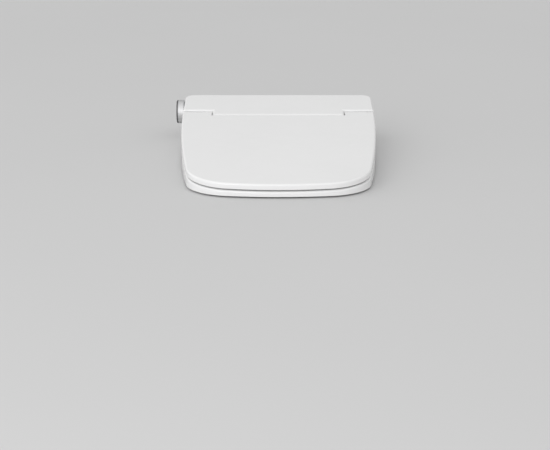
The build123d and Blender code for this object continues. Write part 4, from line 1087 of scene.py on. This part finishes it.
class BIDET_OT_stage(bpy.types.Operator):
    """Make the floor, the light and the camera"""

    bl_idname = "bidet.stage"
    bl_label = "Stage"

    def execute(self, context):
        stage = context.scene.bidet_stage
        self.floor(stage)
        self.light(context, stage)
        self.camera(context, stage)
        return {"FINISHED"}

    def floor(self, stage):
        """Pale square floor."""
        half = stage.floor_size
        mesh = bpy.data.meshes.new("floor")
        corners = [(-half, -half, 0), (half, -half, 0), (half, half, 0), (-half, half, 0)]
        mesh.from_pydata(corners, [], [(0, 1, 2, 3)])
        mesh.materials.append(floor_finish(stage.floor))
        new_object("floor", mesh)

    def light(self, context, stage):
        """Sky that is stronger towards one side, and a square key lamp."""
        world = bpy.data.worlds.new("studio")
        world.use_nodes = True
        tree = world.node_tree
        way = tree.nodes.new("ShaderNodeTexCoord")
        lean = tree.nodes.new("ShaderNodeVectorMath")
        lean.operation = "DOT_PRODUCT"
        lean.inputs[1].default_value = stage.sky_lean
        level = tree.nodes.new("ShaderNodeMath")
        level.inputs[1].default_value = stage.sky
        sky = tree.nodes["Background"]
        sky.inputs["Color"].default_value = (1, 1, 1, 1)
        tree.links.new(way.outputs["Generated"], lean.inputs[0])
        tree.links.new(lean.outputs["Value"], level.inputs[0])
        tree.links.new(level.outputs["Value"], sky.inputs["Strength"])
        context.scene.world = world
        lamp = bpy.data.lights.new("key", "AREA")
        lamp.shape = "SQUARE"
        lamp.size = stage.key_size
        lamp.energy = stage.key
        key = new_object("key", lamp)
        key.location = stage.key_place
        aim = stage.key_aim - key.location
        key.rotation_euler = aim.to_track_quat("-Z", "Y").to_euler()

    def camera(self, context, stage):
        """Camera that looks to the rear, with plain colours in the picture."""
        lens = bpy.data.cameras.new("camera")
        lens.lens = stage.lens
        lens.sensor_width = stage.sensor
        camera = new_object("camera", lens)
        camera.location = stage.eye
        camera.rotation_euler = (stage.eye_pitch, 0, 0)
        context.scene.camera = camera
        context.scene.view_settings.view_transform = "Standard"


STEPS = (
    BIDET_OT_stage,
    BIDET_OT_lid,
    BIDET_OT_seat,
    BIDET_OT_housing,
    BIDET_OT_mounting,
    BIDET_OT_knob,
    BIDET_OT_wand,
    BIDET_OT_water,
    BIDET_OT_electrics,
)


class BIDET_PT_panel(bpy.types.Panel):
    """Sizes, colours and the steps in order"""

    bl_idname = "BIDET_PT_panel"
    bl_label = "Bidet seat"
    bl_space_type = "VIEW_3D"
    bl_region_type = "UI"
    bl_category = "Bidet seat"

    def draw(self, context):
        scene = context.scene
        for group in (scene.bidet_colours, scene.bidet_sizes, scene.bidet_stage):
            box = self.layout.box()
            for key in group.bl_rna.properties.keys():
                if key not in {"rna_type", "name"}:
                    box.prop(group, key)
        for step in STEPS:
            self.layout.operator(step.bl_idname)


GROUPS = {"bidet_colours": BidetColours, "bidet_sizes": BidetSizes, "bidet_stage": BidetStage}


def register():
    """Register the property groups, the steps and the panel."""
    for group in GROUPS.values():
        bpy.utils.register_class(group)
    for key, group in GROUPS.items():
        setattr(bpy.types.Scene, key, PointerProperty(type=group))
    for step in STEPS:
        bpy.utils.register_class(step)
    bpy.utils.register_class(BIDET_PT_panel)


def unregister():
    """Remove all that register made."""
    bpy.utils.unregister_class(BIDET_PT_panel)
    for step in reversed(STEPS):
        bpy.utils.unregister_class(step)
    for key, group in GROUPS.items():
        delattr(bpy.types.Scene, key)
        bpy.utils.unregister_class(group)


def main():
    """Run every step."""
    register()
    bpy.ops.bidet.stage()
    bpy.ops.bidet.lid()
    bpy.ops.bidet.seat()
    bpy.ops.bidet.housing()
    bpy.ops.bidet.mounting()
    bpy.ops.bidet.knob()
    bpy.ops.bidet.wand()
    bpy.ops.bidet.water()
    bpy.ops.bidet.electrics()


if __name__ == "__main__":
    main()
